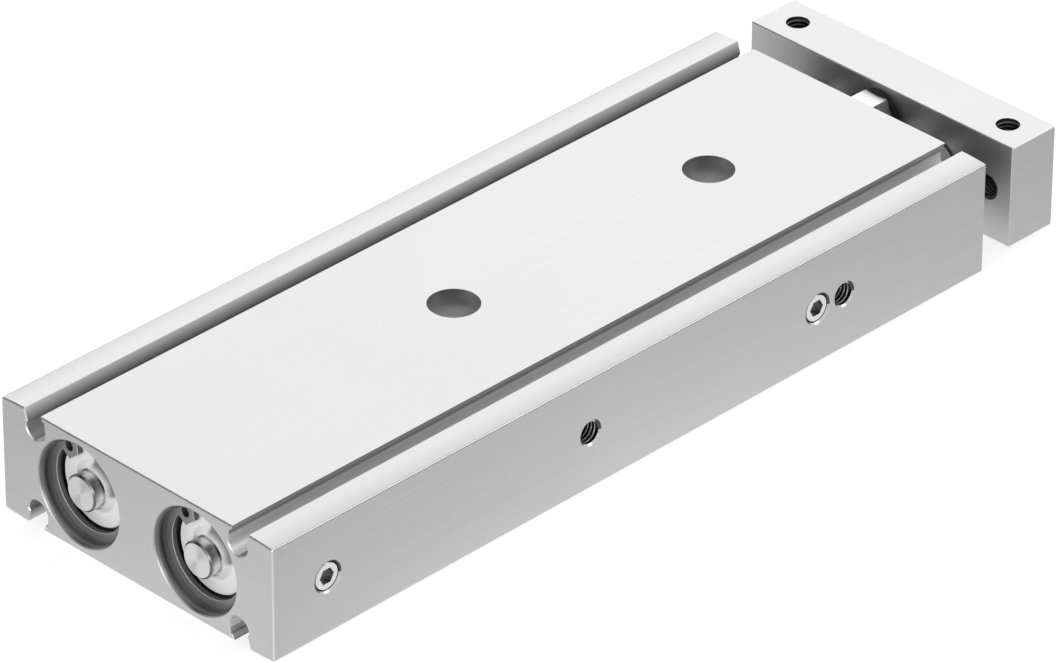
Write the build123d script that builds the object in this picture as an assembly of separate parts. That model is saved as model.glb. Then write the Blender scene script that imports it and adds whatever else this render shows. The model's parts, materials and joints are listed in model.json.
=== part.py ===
from build123d import *
import math
import os

# Twin-piston cylinder: two pistons side by side in one flat body push one yoke plate.
# All lengths are in millimetres. While a piece is made, x counts from the body's rear face
# along the stroke, y is 0 between the two bores and z is 0 on the base.
# At the end every piece is moved so that the origin lies on the base between the two mounting holes.

# Body profile
BODY_WIDTH = 58.0
BODY_HEIGHT = 20.0
BODY_CORNER = 0.3
END_CHAMFER = 0.2
FLANGE_TOP_WIDTH = 5.0
FLANGE_EDGE_DROP = 0.27

# Sensor slots along the body
SLOT_MOUTH_WIDTH = 3.5
SLOT_CHANNEL_RADIUS = 2.05
SLOT_CHANNEL_DEPTH = 4.6
SLOT_AXIS_FROM_SIDE = 7.35
SLOT_LIP_THICKNESS = 0.95
SLOT_LIP_LEAN = 0.35
SLOT_LIP_UNDERCUT = 0.35
SLOT_WALL_HEIGHT = 2.1
SLOT_WALL_LEAN = 0.6

# Bores and the seats at both ends
BORE_FROM_SIDE = 16.5
BORE_DIAMETER = 16.0
SEAT_DIAMETER = 17.0
SEAT_CHAMFER = 0.42
REAR_SEAT_DEPTH = 9.0
FRONT_SEAT_DEPTH = 34.0
SEAT_CLEARANCE = 0.04

# Retaining rings
RING_DEPTH = 2.3
RING_THICKNESS = 1.0
RING_AXIAL_PLAY = 0.05
RING_GROOVE_DIAMETER = 17.8
RING_WIDTH = 1.6
RING_ECCENTRICITY = 0.12
RING_EAR_WIDTH = 3.5
RING_EAR_ANGLE = 45.0
RING_GAP = 3.8
RING_TURN = 7.0
RING_HOLE_DIAMETER = 1.7
RING_HOLE_ANGLE = 31.0
RING_HOLE_FROM_EDGE = 1.85

# Stroke and working lengths
STROKE = 80.0
CAP_SPIGOT_LENGTH = 3.9
REAR_CUSHION_GAP = 0.3
FRONT_CUSHION_GAP = 0.1
GUIDE_LENGTH = 41.55

# Rear end caps
CAP_SPIGOT_DIAMETER = 11.0
CAP_BOSS_DIAMETER = 6.1
CAP_BOSS_DEPTH = 0.45
CAP_BOSS_CHAMFER = 0.3
CAP_LIP_DEPTH = 2.45
CAP_LIP_DIAMETER = 6.7
CAP_BOSS_GROOVE = 0.35
CAP_FACE_RECESS = 0.1
CAP_FACE_DIAMETER = 13.6
CAP_FACE_EDGE = 0.15
CAP_FLARE_DIAMETER = 8.6
CAP_RIM_GROOVE_WIDTH = 0.8
CAP_RIM_GROOVE_DEPTH = 1.3

# Static seals on caps and guides
SEAL_CORD = 1.5
SEAL_SQUEEZE = 0.12
SEAL_GROOVE_WIDTH = 2.0
SEAL_FROM_SHOULDER = 1.6

# Pistons
PISTON_LENGTH = 11.8
PISTON_CLEARANCE = 0.05
SLIDING_RING_CLEARANCE = 0.03
BUMPER_THICKNESS = 1.5
BUMPER_DIAMETER = 14.6
HUB_DIAMETER = 10.0
HUB_RECESS = 0.3
PISTON_LAND = 0.9
LIP_SEAL_WIDTH = 2.6
LIP_SEAL_DEPTH = 1.7
LIP_SEAL_OPENING = 1.3
MAGNET_WIDTH = 3.0
MAGNET_DEPTH = 1.6
MAGNET_SUNK = 0.4
WEAR_RING_WIDTH = 2.4
WEAR_RING_DEPTH = 0.9
RING_SIDE_PLAY = 0.05

# Piston rods
ROD_DIAMETER = 8.0
ROD_CHAMFER = 0.5
ROD_SEAT_DEPTH = 6.5
ROD_SEAT_CLEARANCE = 0.03
BUSH_WALL = 1.0
BUSH_LENGTH = 31.0
BUSH_CLEARANCE = 0.04
GUIDE_LIP = 2.0
GUIDE_NOSE_DIAMETER = 13.8
GUIDE_BORE_PLAY = 0.35
ROD_SEAL_WIDTH = 5.0
ROD_SEAL_DIAMETER = 13.0
ROD_SEAL_OPENING = 1.4

# Screws
PISTON_SCREW_DIAMETER = 4.0
PISTON_SCREW_HEAD = 7.0
PISTON_SCREW_SOCKET = 3.0
PISTON_SCREW_LENGTH = 12.0
YOKE_SCREW_DIAMETER = 5.0
YOKE_SCREW_HEAD = 8.5
YOKE_SCREW_SOCKET = 4.0
YOKE_SCREW_LENGTH = 14.0
YOKE_SCREW_SUNK = 0.4
SCREW_CLEARANCE = 0.02
SCREW_HOLE_PLAY = 0.2
SCREW_HEAD_PLAY = 0.3
SCREW_CHAMFER = 0.3

# Yoke plate
YOKE_GAP = 7.2
YOKE_THICKNESS = 10.0
YOKE_SIDE_STEP = 1.0
YOKE_HEIGHT = 18.0
YOKE_EDGE = 0.15
YOKE_TOP_THREAD_FROM_END = 5.5
YOKE_FACE_THREAD_FROM_END = 5.0

# Stop screw in the yoke
STOP_HEIGHT = 13.5
STOP_DIAMETER = 5.0
STOP_TIP_GAP = 0.1
STOP_TIP_CHAMFER = 0.8
STOP_SUNK = 1.0
STOP_SOCKET = 2.5
STOP_SOCKET_DEPTH = 3.0
STOP_NUT_FLATS = 8.0
STOP_NUT_THICKNESS = 4.0
STOP_NUT_CHAMFER = 0.3
STOP_WASHER_DIAMETER = 8.8
STOP_WASHER_THICKNESS = 0.9

# Mounting holes and threads in the body
MOUNT_PITCH = 55.5
MOUNT_FROM_FRONT = 32.0
MOUNT_HOLE_DIAMETER = 4.5
MOUNT_HEAD_DIAMETER = 8.3
MOUNT_HEAD_DEPTH = 4.4
THREAD_M4 = 3.9
THREAD_M4_MOUTH = 4.5
SIDE_THREAD_DEPTH = 6.0

# Air ports
PORT_FROM_REAR = 11.0
PORT_FROM_FRONT = 38.0
PORT_THREAD = 4.9
PORT_MOUTH = 5.5
PORT_DEPTH = 5.2
PORT_PASSAGE = 3.0
PLUG_LENGTH = 4.4
PLUG_SUNK = 0.25
PLUG_SOCKET = 2.5
PLUG_SOCKET_DEPTH = 2.2
PLUG_CHAMFER = 0.25

# Sizes and places that follow from those above
BORE_HEIGHT = BODY_HEIGHT / 2
BORE_SPACING = BODY_WIDTH - 2 * BORE_FROM_SIDE
YOKE_WIDTH = BODY_WIDTH - 2 * YOKE_SIDE_STEP
YOKE_TOP_THREAD_SPACING = YOKE_WIDTH - 2 * YOKE_TOP_THREAD_FROM_END
YOKE_FACE_THREAD_SPACING = YOKE_WIDTH - 2 * YOKE_FACE_THREAD_FROM_END
CAP_LAND = RING_DEPTH + RING_THICKNESS + RING_AXIAL_PLAY
SPIGOT_END = REAR_SEAT_DEPTH + CAP_SPIGOT_LENGTH
PISTON_REAR = SPIGOT_END + REAR_CUSHION_GAP
PISTON_CORE_REAR = PISTON_REAR + BUMPER_THICKNESS
PISTON_CORE_FRONT = PISTON_CORE_REAR + PISTON_LENGTH
PISTON_FRONT = PISTON_CORE_FRONT + BUMPER_THICKNESS
GUIDE_REAR = PISTON_FRONT + STROKE + FRONT_CUSHION_GAP
GUIDE_FRONT = GUIDE_REAR + GUIDE_LENGTH
BODY_LENGTH = GUIDE_FRONT + CAP_LAND
FRONT_SHOULDER = BODY_LENGTH - FRONT_SEAT_DEPTH
YOKE_NEAR = BODY_LENGTH + YOKE_GAP
YOKE_FAR = YOKE_NEAR + YOKE_THICKNESS
ROD_REAR = PISTON_CORE_FRONT - ROD_SEAT_DEPTH
MOUNT_FRONT = BODY_LENGTH - MOUNT_FROM_FRONT
MOUNT_REAR = MOUNT_FRONT - MOUNT_PITCH
PORT_STATIONS = (PORT_FROM_REAR, BODY_LENGTH - PORT_FROM_FRONT)
ORIGIN_X = (MOUNT_FRONT + MOUNT_REAR) / 2
SIDES = {"left": BORE_SPACING / 2, "right": -BORE_SPACING / 2}


def along_x(diameter, start, end, y=0.0, z=BORE_HEIGHT):
    """Round bar along X between two stations."""
    bar = Cylinder(diameter / 2, end - start, align=(Align.CENTER, Align.CENTER, Align.MIN))
    return Pos(start, y, z) * Rot(0, 90, 0) * bar


def along_z(diameter, bottom, top, x, y=0.0):
    """Upright round bar between two heights."""
    bar = Cylinder(diameter / 2, top - bottom, align=(Align.CENTER, Align.CENTER, Align.MIN))
    return Pos(x, y, bottom) * bar


def turned(points, y=0.0, z=BORE_HEIGHT):
    """Piece of revolution along X from an outline of (station, radius) points."""
    outline = Wire.make_polygon([Vector(x, 0, r) for x, r in points])
    return Pos(0, y, z) * revolve(Face(outline), axis=Axis.X)


def tube(outer, inner, start, end, y=0.0, z=BORE_HEIGHT):
    """Plain ring along X."""
    return along_x(outer, start, end, y, z) - along_x(inner, start, end, y, z)


def chamfered_bar(diameter, start, end, rear_chamfer, front_chamfer, y=0.0, z=BORE_HEIGHT):
    """Round bar along X with a chamfer at each end."""
    radius = diameter / 2
    points = [(start, 0), (start, radius - rear_chamfer), (start + rear_chamfer, radius)]
    points += [(end - front_chamfer, radius), (end, radius - front_chamfer), (end, 0)]
    return turned(points, y, z)


def hexagon_x(flats, start, end, y=0.0, z=BORE_HEIGHT):
    """Six-sided prism along X with one flat on top."""
    section = Plane((start, y, z), x_dir=(0, 1, 0), z_dir=(1, 0, 0))
    return extrude(section * RegularPolygon(flats / 2, 6, major_radius=False), end - start)


def side_drilling(diameter, mouth, depth, side, x, z=BORE_HEIGHT):
    """Blind hole from one side face (side is 1 for left, -1 for right) with a chamfered mouth."""
    face_y = side * BODY_WIDTH / 2
    inward = Plane((x, face_y, z), x_dir=(1, 0, 0), z_dir=(0, -side, 0))
    lead = (mouth - diameter) / 2
    hole = extrude(inward * Circle(diameter / 2), depth)
    cone = loft([inward * Circle(mouth / 2), inward.offset(lead) * Circle(diameter / 2)])
    return hole + cone


def slot_section():
    """Opening of the top left sensor slot, in the plane across the body."""
    top = BODY_HEIGHT
    axis_y = BODY_WIDTH / 2 - SLOT_AXIS_FROM_SIDE
    axis_z = top - SLOT_CHANNEL_DEPTH + SLOT_CHANNEL_RADIUS
    mouth_outer = BODY_WIDTH / 2 - FLANGE_TOP_WIDTH
    mouth_inner = mouth_outer - SLOT_MOUTH_WIDTH
    lip_z = top - SLOT_LIP_THICKNESS
    lip_y = mouth_inner - SLOT_LIP_LEAN
    wall_y = mouth_outer - SLOT_WALL_LEAN
    wall_z = top - SLOT_WALL_HEIGHT
    channel_outer = Vector(axis_y + SLOT_CHANNEL_RADIUS, axis_z, 0)
    channel_inner = Vector(axis_y - SLOT_CHANNEL_RADIUS, axis_z, 0)
    channel_bottom = Vector(axis_y, axis_z - SLOT_CHANNEL_RADIUS, 0)
    start = Vector(mouth_inner, top + 1, 0)
    inner_side = [start, Vector(mouth_inner, top, 0), Vector(lip_y, lip_z, 0)]
    inner_side += [Vector(lip_y - SLOT_LIP_UNDERCUT, lip_z + SLOT_LIP_UNDERCUT / 2, 0), channel_inner]
    outer_side = [channel_outer, Vector(wall_y, wall_z, 0), Vector(mouth_outer, top, 0)]
    outer_side += [Vector(mouth_outer, top + 1, 0), start]
    edges = [Line(a, b) for a, b in zip(inner_side, inner_side[1:])]
    edges += [ThreePointArc(channel_inner, channel_bottom, channel_outer)]
    edges += [Line(a, b) for a, b in zip(outer_side, outer_side[1:])]
    return make_face(edges)


def flange_crown():
    """Sliver above the gently falling top of the left flange, in the plane across the body."""
    inner = Vector(BODY_WIDTH / 2 - FLANGE_TOP_WIDTH, BODY_HEIGHT, 0)
    outer = Vector(BODY_WIDTH / 2, BODY_HEIGHT - FLANGE_EDGE_DROP, 0)
    middle = Vector(BODY_WIDTH / 2 - FLANGE_TOP_WIDTH / 2, BODY_HEIGHT - FLANGE_EDGE_DROP / 4, 0)
    corner = Vector(BODY_WIDTH / 2 + 1, BODY_HEIGHT - FLANGE_EDGE_DROP, 0)
    above = Vector(BODY_WIDTH / 2 + 1, BODY_HEIGHT + 1, 0)
    over = Vector(BODY_WIDTH / 2 - FLANGE_TOP_WIDTH, BODY_HEIGHT + 1, 0)
    edges = [ThreePointArc(inner, middle, outer), Line(outer, corner), Line(corner, above)]
    edges += [Line(above, over), Line(over, inner)]
    return make_face(edges)


def four_fold(section):
    """A section of the top left quarter, repeated in all four quarters of the profile."""
    both = section + mirror(section, about=Plane.YZ)
    lower = Pos(0, BODY_HEIGHT) * mirror(both, about=Plane.XZ)
    return both + lower


def body_profile():
    """Cross-section of the extruded body: x of the sketch is the width, y the height."""
    block = Pos(0, BODY_HEIGHT / 2) * Rectangle(BODY_WIDTH, BODY_HEIGHT)
    profile = block - four_fold(slot_section()) - four_fold(flange_crown())
    edge = BODY_WIDTH / 2 - BODY_CORNER
    corners = [v for v in profile.vertices() if abs(v.X) > edge]
    return fillet(corners, BODY_CORNER)


def mount_hole(x):
    """Through hole for a screw from above with its counterbore."""
    shank = along_z(MOUNT_HOLE_DIAMETER, 0, BODY_HEIGHT, x)
    head = along_z(MOUNT_HEAD_DIAMETER, BODY_HEIGHT - MOUNT_HEAD_DEPTH, BODY_HEIGHT, x)
    return shank + head


def seat_mouth(y, face, inward):
    """Seat, ring groove and chamfered mouth at one end; inward is 1 at the rear and -1 in front."""
    depth = REAR_SEAT_DEPTH if inward > 0 else FRONT_SEAT_DEPTH
    seat = SEAT_DIAMETER / 2
    groove = RING_GROOVE_DIAMETER / 2
    groove_start = RING_DEPTH - RING_AXIAL_PLAY
    outline = [(0, 0), (0, seat + SEAT_CHAMFER), (SEAT_CHAMFER, seat), (groove_start, seat)]
    outline += [(groove_start, groove), (CAP_LAND, groove), (CAP_LAND, seat), (depth, seat), (depth, 0)]
    return turned([(face + inward * x, r) for x, r in outline], y)


def cylinder_body():
    """Extruded body with its slots, bores, seats, mounting holes, side threads and ports."""
    body = extrude(Plane.YZ * body_profile(), BODY_LENGTH)
    rim = body.faces().filter_by(Axis.X).edges()
    body = chamfer(rim, END_CHAMFER)
    for y in SIDES.values():
        body -= along_x(BORE_DIAMETER, 0, BODY_LENGTH, y)
        body -= seat_mouth(y, 0, 1)
        body -= seat_mouth(y, BODY_LENGTH, -1)
    for x in (MOUNT_REAR, MOUNT_FRONT):
        body -= mount_hole(x)
        for side in (1, -1):
            body -= side_drilling(THREAD_M4, THREAD_M4_MOUTH, SIDE_THREAD_DEPTH, side, x)
    for x in PORT_STATIONS:
        across = Plane((x, -BODY_WIDTH / 2, BORE_HEIGHT), x_dir=(1, 0, 0), z_dir=(0, 1, 0))
        body -= extrude(across * Circle(PORT_PASSAGE / 2), BODY_WIDTH)
        for side in (1, -1):
            body -= side_drilling(PORT_THREAD, PORT_MOUTH, PORT_DEPTH, side, x)
    return body


def retaining_ring(y, start):
    """Internal ring: a band that thins towards its gap, with one drilled ear at each end of it."""
    outer = RING_GROOVE_DIAMETER / 2
    band = Circle(outer) - Pos(0, RING_ECCENTRICITY) * Circle(outer - RING_WIDTH)
    reach = outer * 2
    left = (-reach * math.sin(math.radians(RING_EAR_ANGLE)), reach * math.cos(math.radians(RING_EAR_ANGLE)))
    fan = make_face(Polyline((0, 0), (-left[0], left[1]), left, (0, 0)))
    ears = (Circle(outer) & fan) - Circle(outer - RING_EAR_WIDTH)
    flat = band + ears - Pos(0, outer) * Rectangle(RING_GAP, outer)
    hole_radius = outer - RING_HOLE_FROM_EDGE
    for turn in (RING_HOLE_ANGLE, -RING_HOLE_ANGLE):
        flat -= Rot(0, 0, turn) * Pos(0, hole_radius) * Circle(RING_HOLE_DIAMETER / 2)
    across = Plane((start, y, BORE_HEIGHT), x_dir=(0, 1, 0), z_dir=(1, 0, 0))
    return extrude(across * (Rot(0, 0, -RING_TURN) * flat), RING_THICKNESS)


def seal_groove(start):
    """Half outline of a static seal's groove that opens outwards at the seat."""
    bottom = SEAT_DIAMETER / 2 - SEAL_CORD + SEAL_SQUEEZE
    seat = SEAT_DIAMETER / 2 - SEAT_CLEARANCE
    end = start + SEAL_GROOVE_WIDTH
    return [(start, seat), (start, bottom), (end, bottom), (end, seat)]


def static_seal(y, middle):
    """Rubber ring in its groove, slightly flattened between groove and seat."""
    outer = SEAT_DIAMETER / 2
    bottom = outer - SEAL_CORD + SEAL_SQUEEZE
    bulge = SEAL_CORD / 2
    bevel = bulge / 2
    points = [(middle - bevel, bottom), (middle + bevel, bottom), (middle + bulge, bottom + bevel)]
    points += [(middle + bulge, outer - bevel), (middle + bevel, outer)]
    points += [(middle - bevel, outer), (middle - bulge, outer - bevel), (middle - bulge, bottom + bevel)]
    return turned(points, y)


def rear_cap(y):
    """End cap: boss with a flared root, bright face, land under the ring, seal groove and spigot."""
    boss = CAP_BOSS_DIAMETER / 2
    lip = CAP_LIP_DIAMETER / 2
    face = CAP_LAND + CAP_FACE_RECESS
    flare = CAP_FLARE_DIAMETER / 2
    rim = CAP_FACE_DIAMETER / 2
    land = rim + CAP_RIM_GROOVE_WIDTH
    seat = SEAT_DIAMETER / 2 - SEAT_CLEARANCE
    rim_end = CAP_LAND + CAP_RIM_GROOVE_DEPTH
    boss_root = CAP_LIP_DEPTH + CAP_BOSS_GROOVE
    groove_start = REAR_SEAT_DEPTH - SEAL_FROM_SHOULDER - SEAL_GROOVE_WIDTH
    points = [(CAP_BOSS_DEPTH, 0), (CAP_BOSS_DEPTH, boss - CAP_BOSS_CHAMFER)]
    points += [(CAP_BOSS_DEPTH + CAP_BOSS_CHAMFER, boss), (boss_root, boss)]
    points += [(boss_root, lip), (CAP_LIP_DEPTH, lip), (face, flare), (face, rim - CAP_FACE_EDGE)]
    points += [(face + CAP_FACE_EDGE, rim), (rim_end, rim), (rim_end, land), (CAP_LAND, land)]
    points += [(CAP_LAND, seat)] + seal_groove(groove_start)
    points += [(REAR_SEAT_DEPTH, seat), (REAR_SEAT_DEPTH, CAP_SPIGOT_DIAMETER / 2)]
    points += [(SPIGOT_END, CAP_SPIGOT_DIAMETER / 2), (SPIGOT_END, 0)]
    return turned(points, y)


def rod_guide(y):
    """Guide with a relieved nose, the pocket of the rod seal, the bush bore and a seal groove."""
    nose = GUIDE_NOSE_DIAMETER / 2
    seat = SEAT_DIAMETER / 2 - SEAT_CLEARANCE
    lip = ROD_DIAMETER / 2 + GUIDE_BORE_PLAY
    bush = ROD_DIAMETER / 2 + BUSH_CLEARANCE + BUSH_WALL
    pocket = ROD_SEAL_DIAMETER / 2
    bush_start = GUIDE_REAR + GUIDE_LIP
    bush_end = bush_start + BUSH_LENGTH
    pocket_start = GUIDE_FRONT - ROD_SEAL_WIDTH
    points = [(GUIDE_REAR, lip), (GUIDE_REAR, nose), (FRONT_SHOULDER, nose), (FRONT_SHOULDER, seat)]
    points += seal_groove(FRONT_SHOULDER + SEAL_FROM_SHOULDER)
    points += [(GUIDE_FRONT, seat), (GUIDE_FRONT, pocket), (pocket_start, pocket), (pocket_start, lip)]
    points += [(bush_end, lip), (bush_end, bush), (bush_start, bush), (bush_start, lip)]
    return turned(points, y)


def guide_bush(y):
    """Sintered bearing bush in the guide, with a running fit on the rod."""
    inner = ROD_DIAMETER + 2 * BUSH_CLEARANCE
    start = GUIDE_REAR + GUIDE_LIP
    return tube(inner + 2 * BUSH_WALL, inner, start, start + BUSH_LENGTH, y)


def rod_seal(y):
    """Rod seal and wiper in one rubber ring, open towards the pressure."""
    outer = ROD_SEAL_DIAMETER / 2
    inner = ROD_DIAMETER / 2 + SLIDING_RING_CLEARANCE
    start = GUIDE_FRONT - ROD_SEAL_WIDTH
    middle = (outer + inner) / 2
    notch = ROD_SEAL_OPENING / 2
    points = [(start, inner), (start, middle - notch), (start + ROD_SEAL_OPENING, middle)]
    points += [(start, middle + notch), (start, outer), (GUIDE_FRONT, outer)]
    points += [(GUIDE_FRONT, middle), (GUIDE_FRONT - ROD_SEAL_OPENING, inner)]
    return turned(points, y)


def groove_stations():
    """Start and end of the lip seal, the magnet and the wear ring on a piston, rear to front."""
    seal_start = PISTON_CORE_REAR + PISTON_LAND
    seal_end = seal_start + LIP_SEAL_WIDTH
    wear_end = PISTON_CORE_FRONT - PISTON_LAND
    wear_start = wear_end - WEAR_RING_WIDTH
    magnet_start = (seal_end + wear_start - MAGNET_WIDTH) / 2
    return (seal_start, seal_end), (magnet_start, magnet_start + MAGNET_WIDTH), (wear_start, wear_end)


def piston(y):
    """Piston with three grooves, a hub at each end, the rod's seat and the screw's counterbore."""
    outer = BORE_DIAMETER / 2 - PISTON_CLEARANCE
    hub = HUB_DIAMETER / 2
    hub_rear = PISTON_REAR + HUB_RECESS
    hub_front = PISTON_FRONT - HUB_RECESS
    depths = (LIP_SEAL_DEPTH, MAGNET_DEPTH, WEAR_RING_DEPTH)
    points = [(hub_rear, 0), (hub_rear, hub), (PISTON_CORE_REAR, hub), (PISTON_CORE_REAR, outer)]
    for (start, end), depth in zip(groove_stations(), depths):
        points += [(start, outer), (start, outer - depth), (end, outer - depth), (end, outer)]
    points += [(PISTON_CORE_FRONT, outer), (PISTON_CORE_FRONT, hub), (hub_front, hub), (hub_front, 0)]
    core = turned(points, y)
    web_start = ROD_REAR - PISTON_SCREW_DIAMETER / 2
    core -= along_x(PISTON_SCREW_HEAD + 2 * SCREW_HEAD_PLAY, hub_rear, web_start, y)
    core -= along_x(PISTON_SCREW_DIAMETER + 2 * SCREW_HOLE_PLAY, web_start, ROD_REAR, y)
    return core - along_x(ROD_DIAMETER + 2 * ROD_SEAT_CLEARANCE, ROD_REAR, hub_front, y)


def piston_seal(y):
    """Lip seal of the piston; its mouth faces the rear chamber."""
    start, end = groove_stations()[0]
    outer = BORE_DIAMETER / 2 - SLIDING_RING_CLEARANCE
    bottom = BORE_DIAMETER / 2 - PISTON_CLEARANCE - LIP_SEAL_DEPTH
    middle = (outer + bottom) / 2
    notch = LIP_SEAL_OPENING / 3
    first = start + RING_SIDE_PLAY
    last = end - RING_SIDE_PLAY
    points = [(first, bottom), (first, middle - notch), (first + LIP_SEAL_OPENING, middle)]
    points += [(first, middle + notch), (first, outer), (last, outer - 2 * SLIDING_RING_CLEARANCE)]
    points += [(last, bottom)]
    return turned(points, y)


def piston_magnet(y):
    """Magnet ring that the sensors in the slots detect."""
    start, end = groove_stations()[1]
    piston_diameter = BORE_DIAMETER - 2 * PISTON_CLEARANCE
    outer = piston_diameter - 2 * MAGNET_SUNK
    inner = piston_diameter - 2 * MAGNET_DEPTH
    return tube(outer, inner, start + RING_SIDE_PLAY, end - RING_SIDE_PLAY, y)


def wear_ring(y):
    """Plastic ring that guides the piston in the bore."""
    start, end = groove_stations()[2]
    outer = BORE_DIAMETER / 2 - SLIDING_RING_CLEARANCE
    inner = BORE_DIAMETER / 2 - PISTON_CLEARANCE - WEAR_RING_DEPTH
    return tube(2 * outer, 2 * inner, start + RING_SIDE_PLAY, end - RING_SIDE_PLAY, y)


def bumper(y, start):
    """Elastic ring that a hub of the piston carries."""
    return tube(BUMPER_DIAMETER, HUB_DIAMETER + 2 * SCREW_CLEARANCE, start, start + BUMPER_THICKNESS, y)


def piston_rod(y):
    """Rod from the piston's seat to the yoke, tapped at both ends."""
    rod = chamfered_bar(ROD_DIAMETER, ROD_REAR, YOKE_NEAR, ROD_CHAMFER, ROD_CHAMFER / 2, y)
    rear_hole = PISTON_SCREW_DIAMETER + 2 * SCREW_CLEARANCE
    front_hole = YOKE_SCREW_DIAMETER + 2 * SCREW_CLEARANCE
    rod -= along_x(rear_hole, ROD_REAR, ROD_REAR + PISTON_SCREW_LENGTH + PISTON_SCREW_DIAMETER / 2, y)
    return rod - along_x(front_hole, YOKE_NEAR - YOKE_SCREW_LENGTH, YOKE_NEAR, y)


def cap_screw(y, seat, diameter, head_diameter, socket, length, outward):
    """Socket-head screw along X whose head rests at seat; outward is the way the head points."""
    head_end = seat + outward * diameter
    tip = seat - outward * length
    radius = diameter / 2
    head_radius = head_diameter / 2
    points = [(tip, 0), (tip, radius - SCREW_CHAMFER), (tip + outward * SCREW_CHAMFER, radius)]
    points += [(seat, radius), (seat, head_radius), (head_end - outward * SCREW_CHAMFER, head_radius)]
    points += [(head_end, head_radius - SCREW_CHAMFER), (head_end, 0)]
    pocket_end = head_end - outward * diameter / 2
    low, high = sorted((head_end, pocket_end))
    return turned(points, y) - hexagon_x(socket, low, high, y)


def piston_screw(y):
    """Screw that holds the piston on its rod, from the rear."""
    seat = ROD_REAR - PISTON_SCREW_DIAMETER / 2
    return cap_screw(
        y, seat, PISTON_SCREW_DIAMETER, PISTON_SCREW_HEAD, PISTON_SCREW_SOCKET, PISTON_SCREW_LENGTH, -1
    )


def yoke_screw(y):
    """Screw that holds the yoke on a rod, from the front."""
    seat = YOKE_FAR - YOKE_SCREW_SUNK - YOKE_SCREW_DIAMETER
    return cap_screw(y, seat, YOKE_SCREW_DIAMETER, YOKE_SCREW_HEAD, YOKE_SCREW_SOCKET, YOKE_SCREW_LENGTH, 1)


def yoke_face_thread(y):
    """Tapped hole through the plate along X with a chamfered mouth on both faces."""
    core = THREAD_M4 / 2
    mouth = THREAD_M4_MOUTH / 2
    lead = mouth - core
    points = [(YOKE_NEAR, 0), (YOKE_NEAR, mouth), (YOKE_NEAR + lead, core)]
    points += [(YOKE_FAR - lead, core), (YOKE_FAR, mouth), (YOKE_FAR, 0)]
    return turned(points, y)


def yoke_plate():
    """Plate across both rods with its screw holes, tapped mounting holes and the stop screw's thread."""
    middle_x = (YOKE_NEAR + YOKE_FAR) / 2
    low = BORE_HEIGHT - YOKE_HEIGHT / 2
    high = BORE_HEIGHT + YOKE_HEIGHT / 2
    block = Pos(middle_x, 0, BORE_HEIGHT) * Box(YOKE_THICKNESS, YOKE_WIDTH, YOKE_HEIGHT)
    plate = chamfer(block.edges(), YOKE_EDGE)
    head_seat = YOKE_FAR - YOKE_SCREW_SUNK - YOKE_SCREW_DIAMETER
    for y in SIDES.values():
        plate -= along_x(YOKE_SCREW_DIAMETER + 2 * SCREW_HOLE_PLAY, YOKE_NEAR, head_seat, y)
        plate -= along_x(YOKE_SCREW_HEAD + 2 * SCREW_HEAD_PLAY, head_seat, YOKE_FAR, y)
    for side in (1, -1):
        plate -= yoke_face_thread(side * YOKE_FACE_THREAD_SPACING / 2)
        plate -= along_z(THREAD_M4, low, high, middle_x, side * YOKE_TOP_THREAD_SPACING / 2)
    return plate - along_x(STOP_DIAMETER + 2 * SCREW_CLEARANCE, YOKE_NEAR, YOKE_FAR, 0, STOP_HEIGHT)


def stop_screw():
    """Grub screw through the yoke whose tip meets the body when the rods are drawn in."""
    tip = BODY_LENGTH + STOP_TIP_GAP
    end = YOKE_FAR - STOP_SUNK
    screw = chamfered_bar(STOP_DIAMETER, tip, end, STOP_TIP_CHAMFER, SCREW_CHAMFER, 0, STOP_HEIGHT)
    return screw - hexagon_x(STOP_SOCKET, end - STOP_SOCKET_DEPTH, end, 0, STOP_HEIGHT)


def stop_nut():
    """Hexagon nut that locks the stop screw against the yoke."""
    end = YOKE_NEAR - STOP_WASHER_THICKNESS
    start = end - STOP_NUT_THICKNESS
    nut = hexagon_x(STOP_NUT_FLATS, start, end, 0, STOP_HEIGHT)
    corner = STOP_NUT_FLATS / math.sqrt(3)
    flat = STOP_NUT_FLATS / 2
    outline = [(start, 0), (start, flat), (start + STOP_NUT_CHAMFER, corner), (end, corner), (end, 0)]
    nut &= turned(outline, 0, STOP_HEIGHT)
    return nut - along_x(STOP_DIAMETER + 2 * SCREW_CLEARANCE, start, end, 0, STOP_HEIGHT)


def stop_washer():
    """Dark washer between the lock nut and the yoke."""
    start = YOKE_NEAR - STOP_WASHER_THICKNESS
    inner = STOP_DIAMETER + 2 * SCREW_HOLE_PLAY
    return tube(STOP_WASHER_DIAMETER, inner, start, YOKE_NEAR, 0, STOP_HEIGHT)


def port_plug(x):
    """Threaded plug with a hexagon socket in a port of the right side."""
    outer_y = -BODY_WIDTH / 2 + PLUG_SUNK
    inward = Plane((x, outer_y, BORE_HEIGHT), x_dir=(1, 0, 0), z_dir=(0, 1, 0))
    radius = PORT_THREAD / 2 - SCREW_CLEARANCE
    plug = extrude(inward * Circle(radius), PLUG_LENGTH)
    plug = chamfer(plug.edges().filter_by(GeomType.CIRCLE), PLUG_CHAMFER)
    return plug - extrude(inward * RegularPolygon(PLUG_SOCKET / 2, 6, major_radius=False), PLUG_SOCKET_DEPTH)


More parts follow.
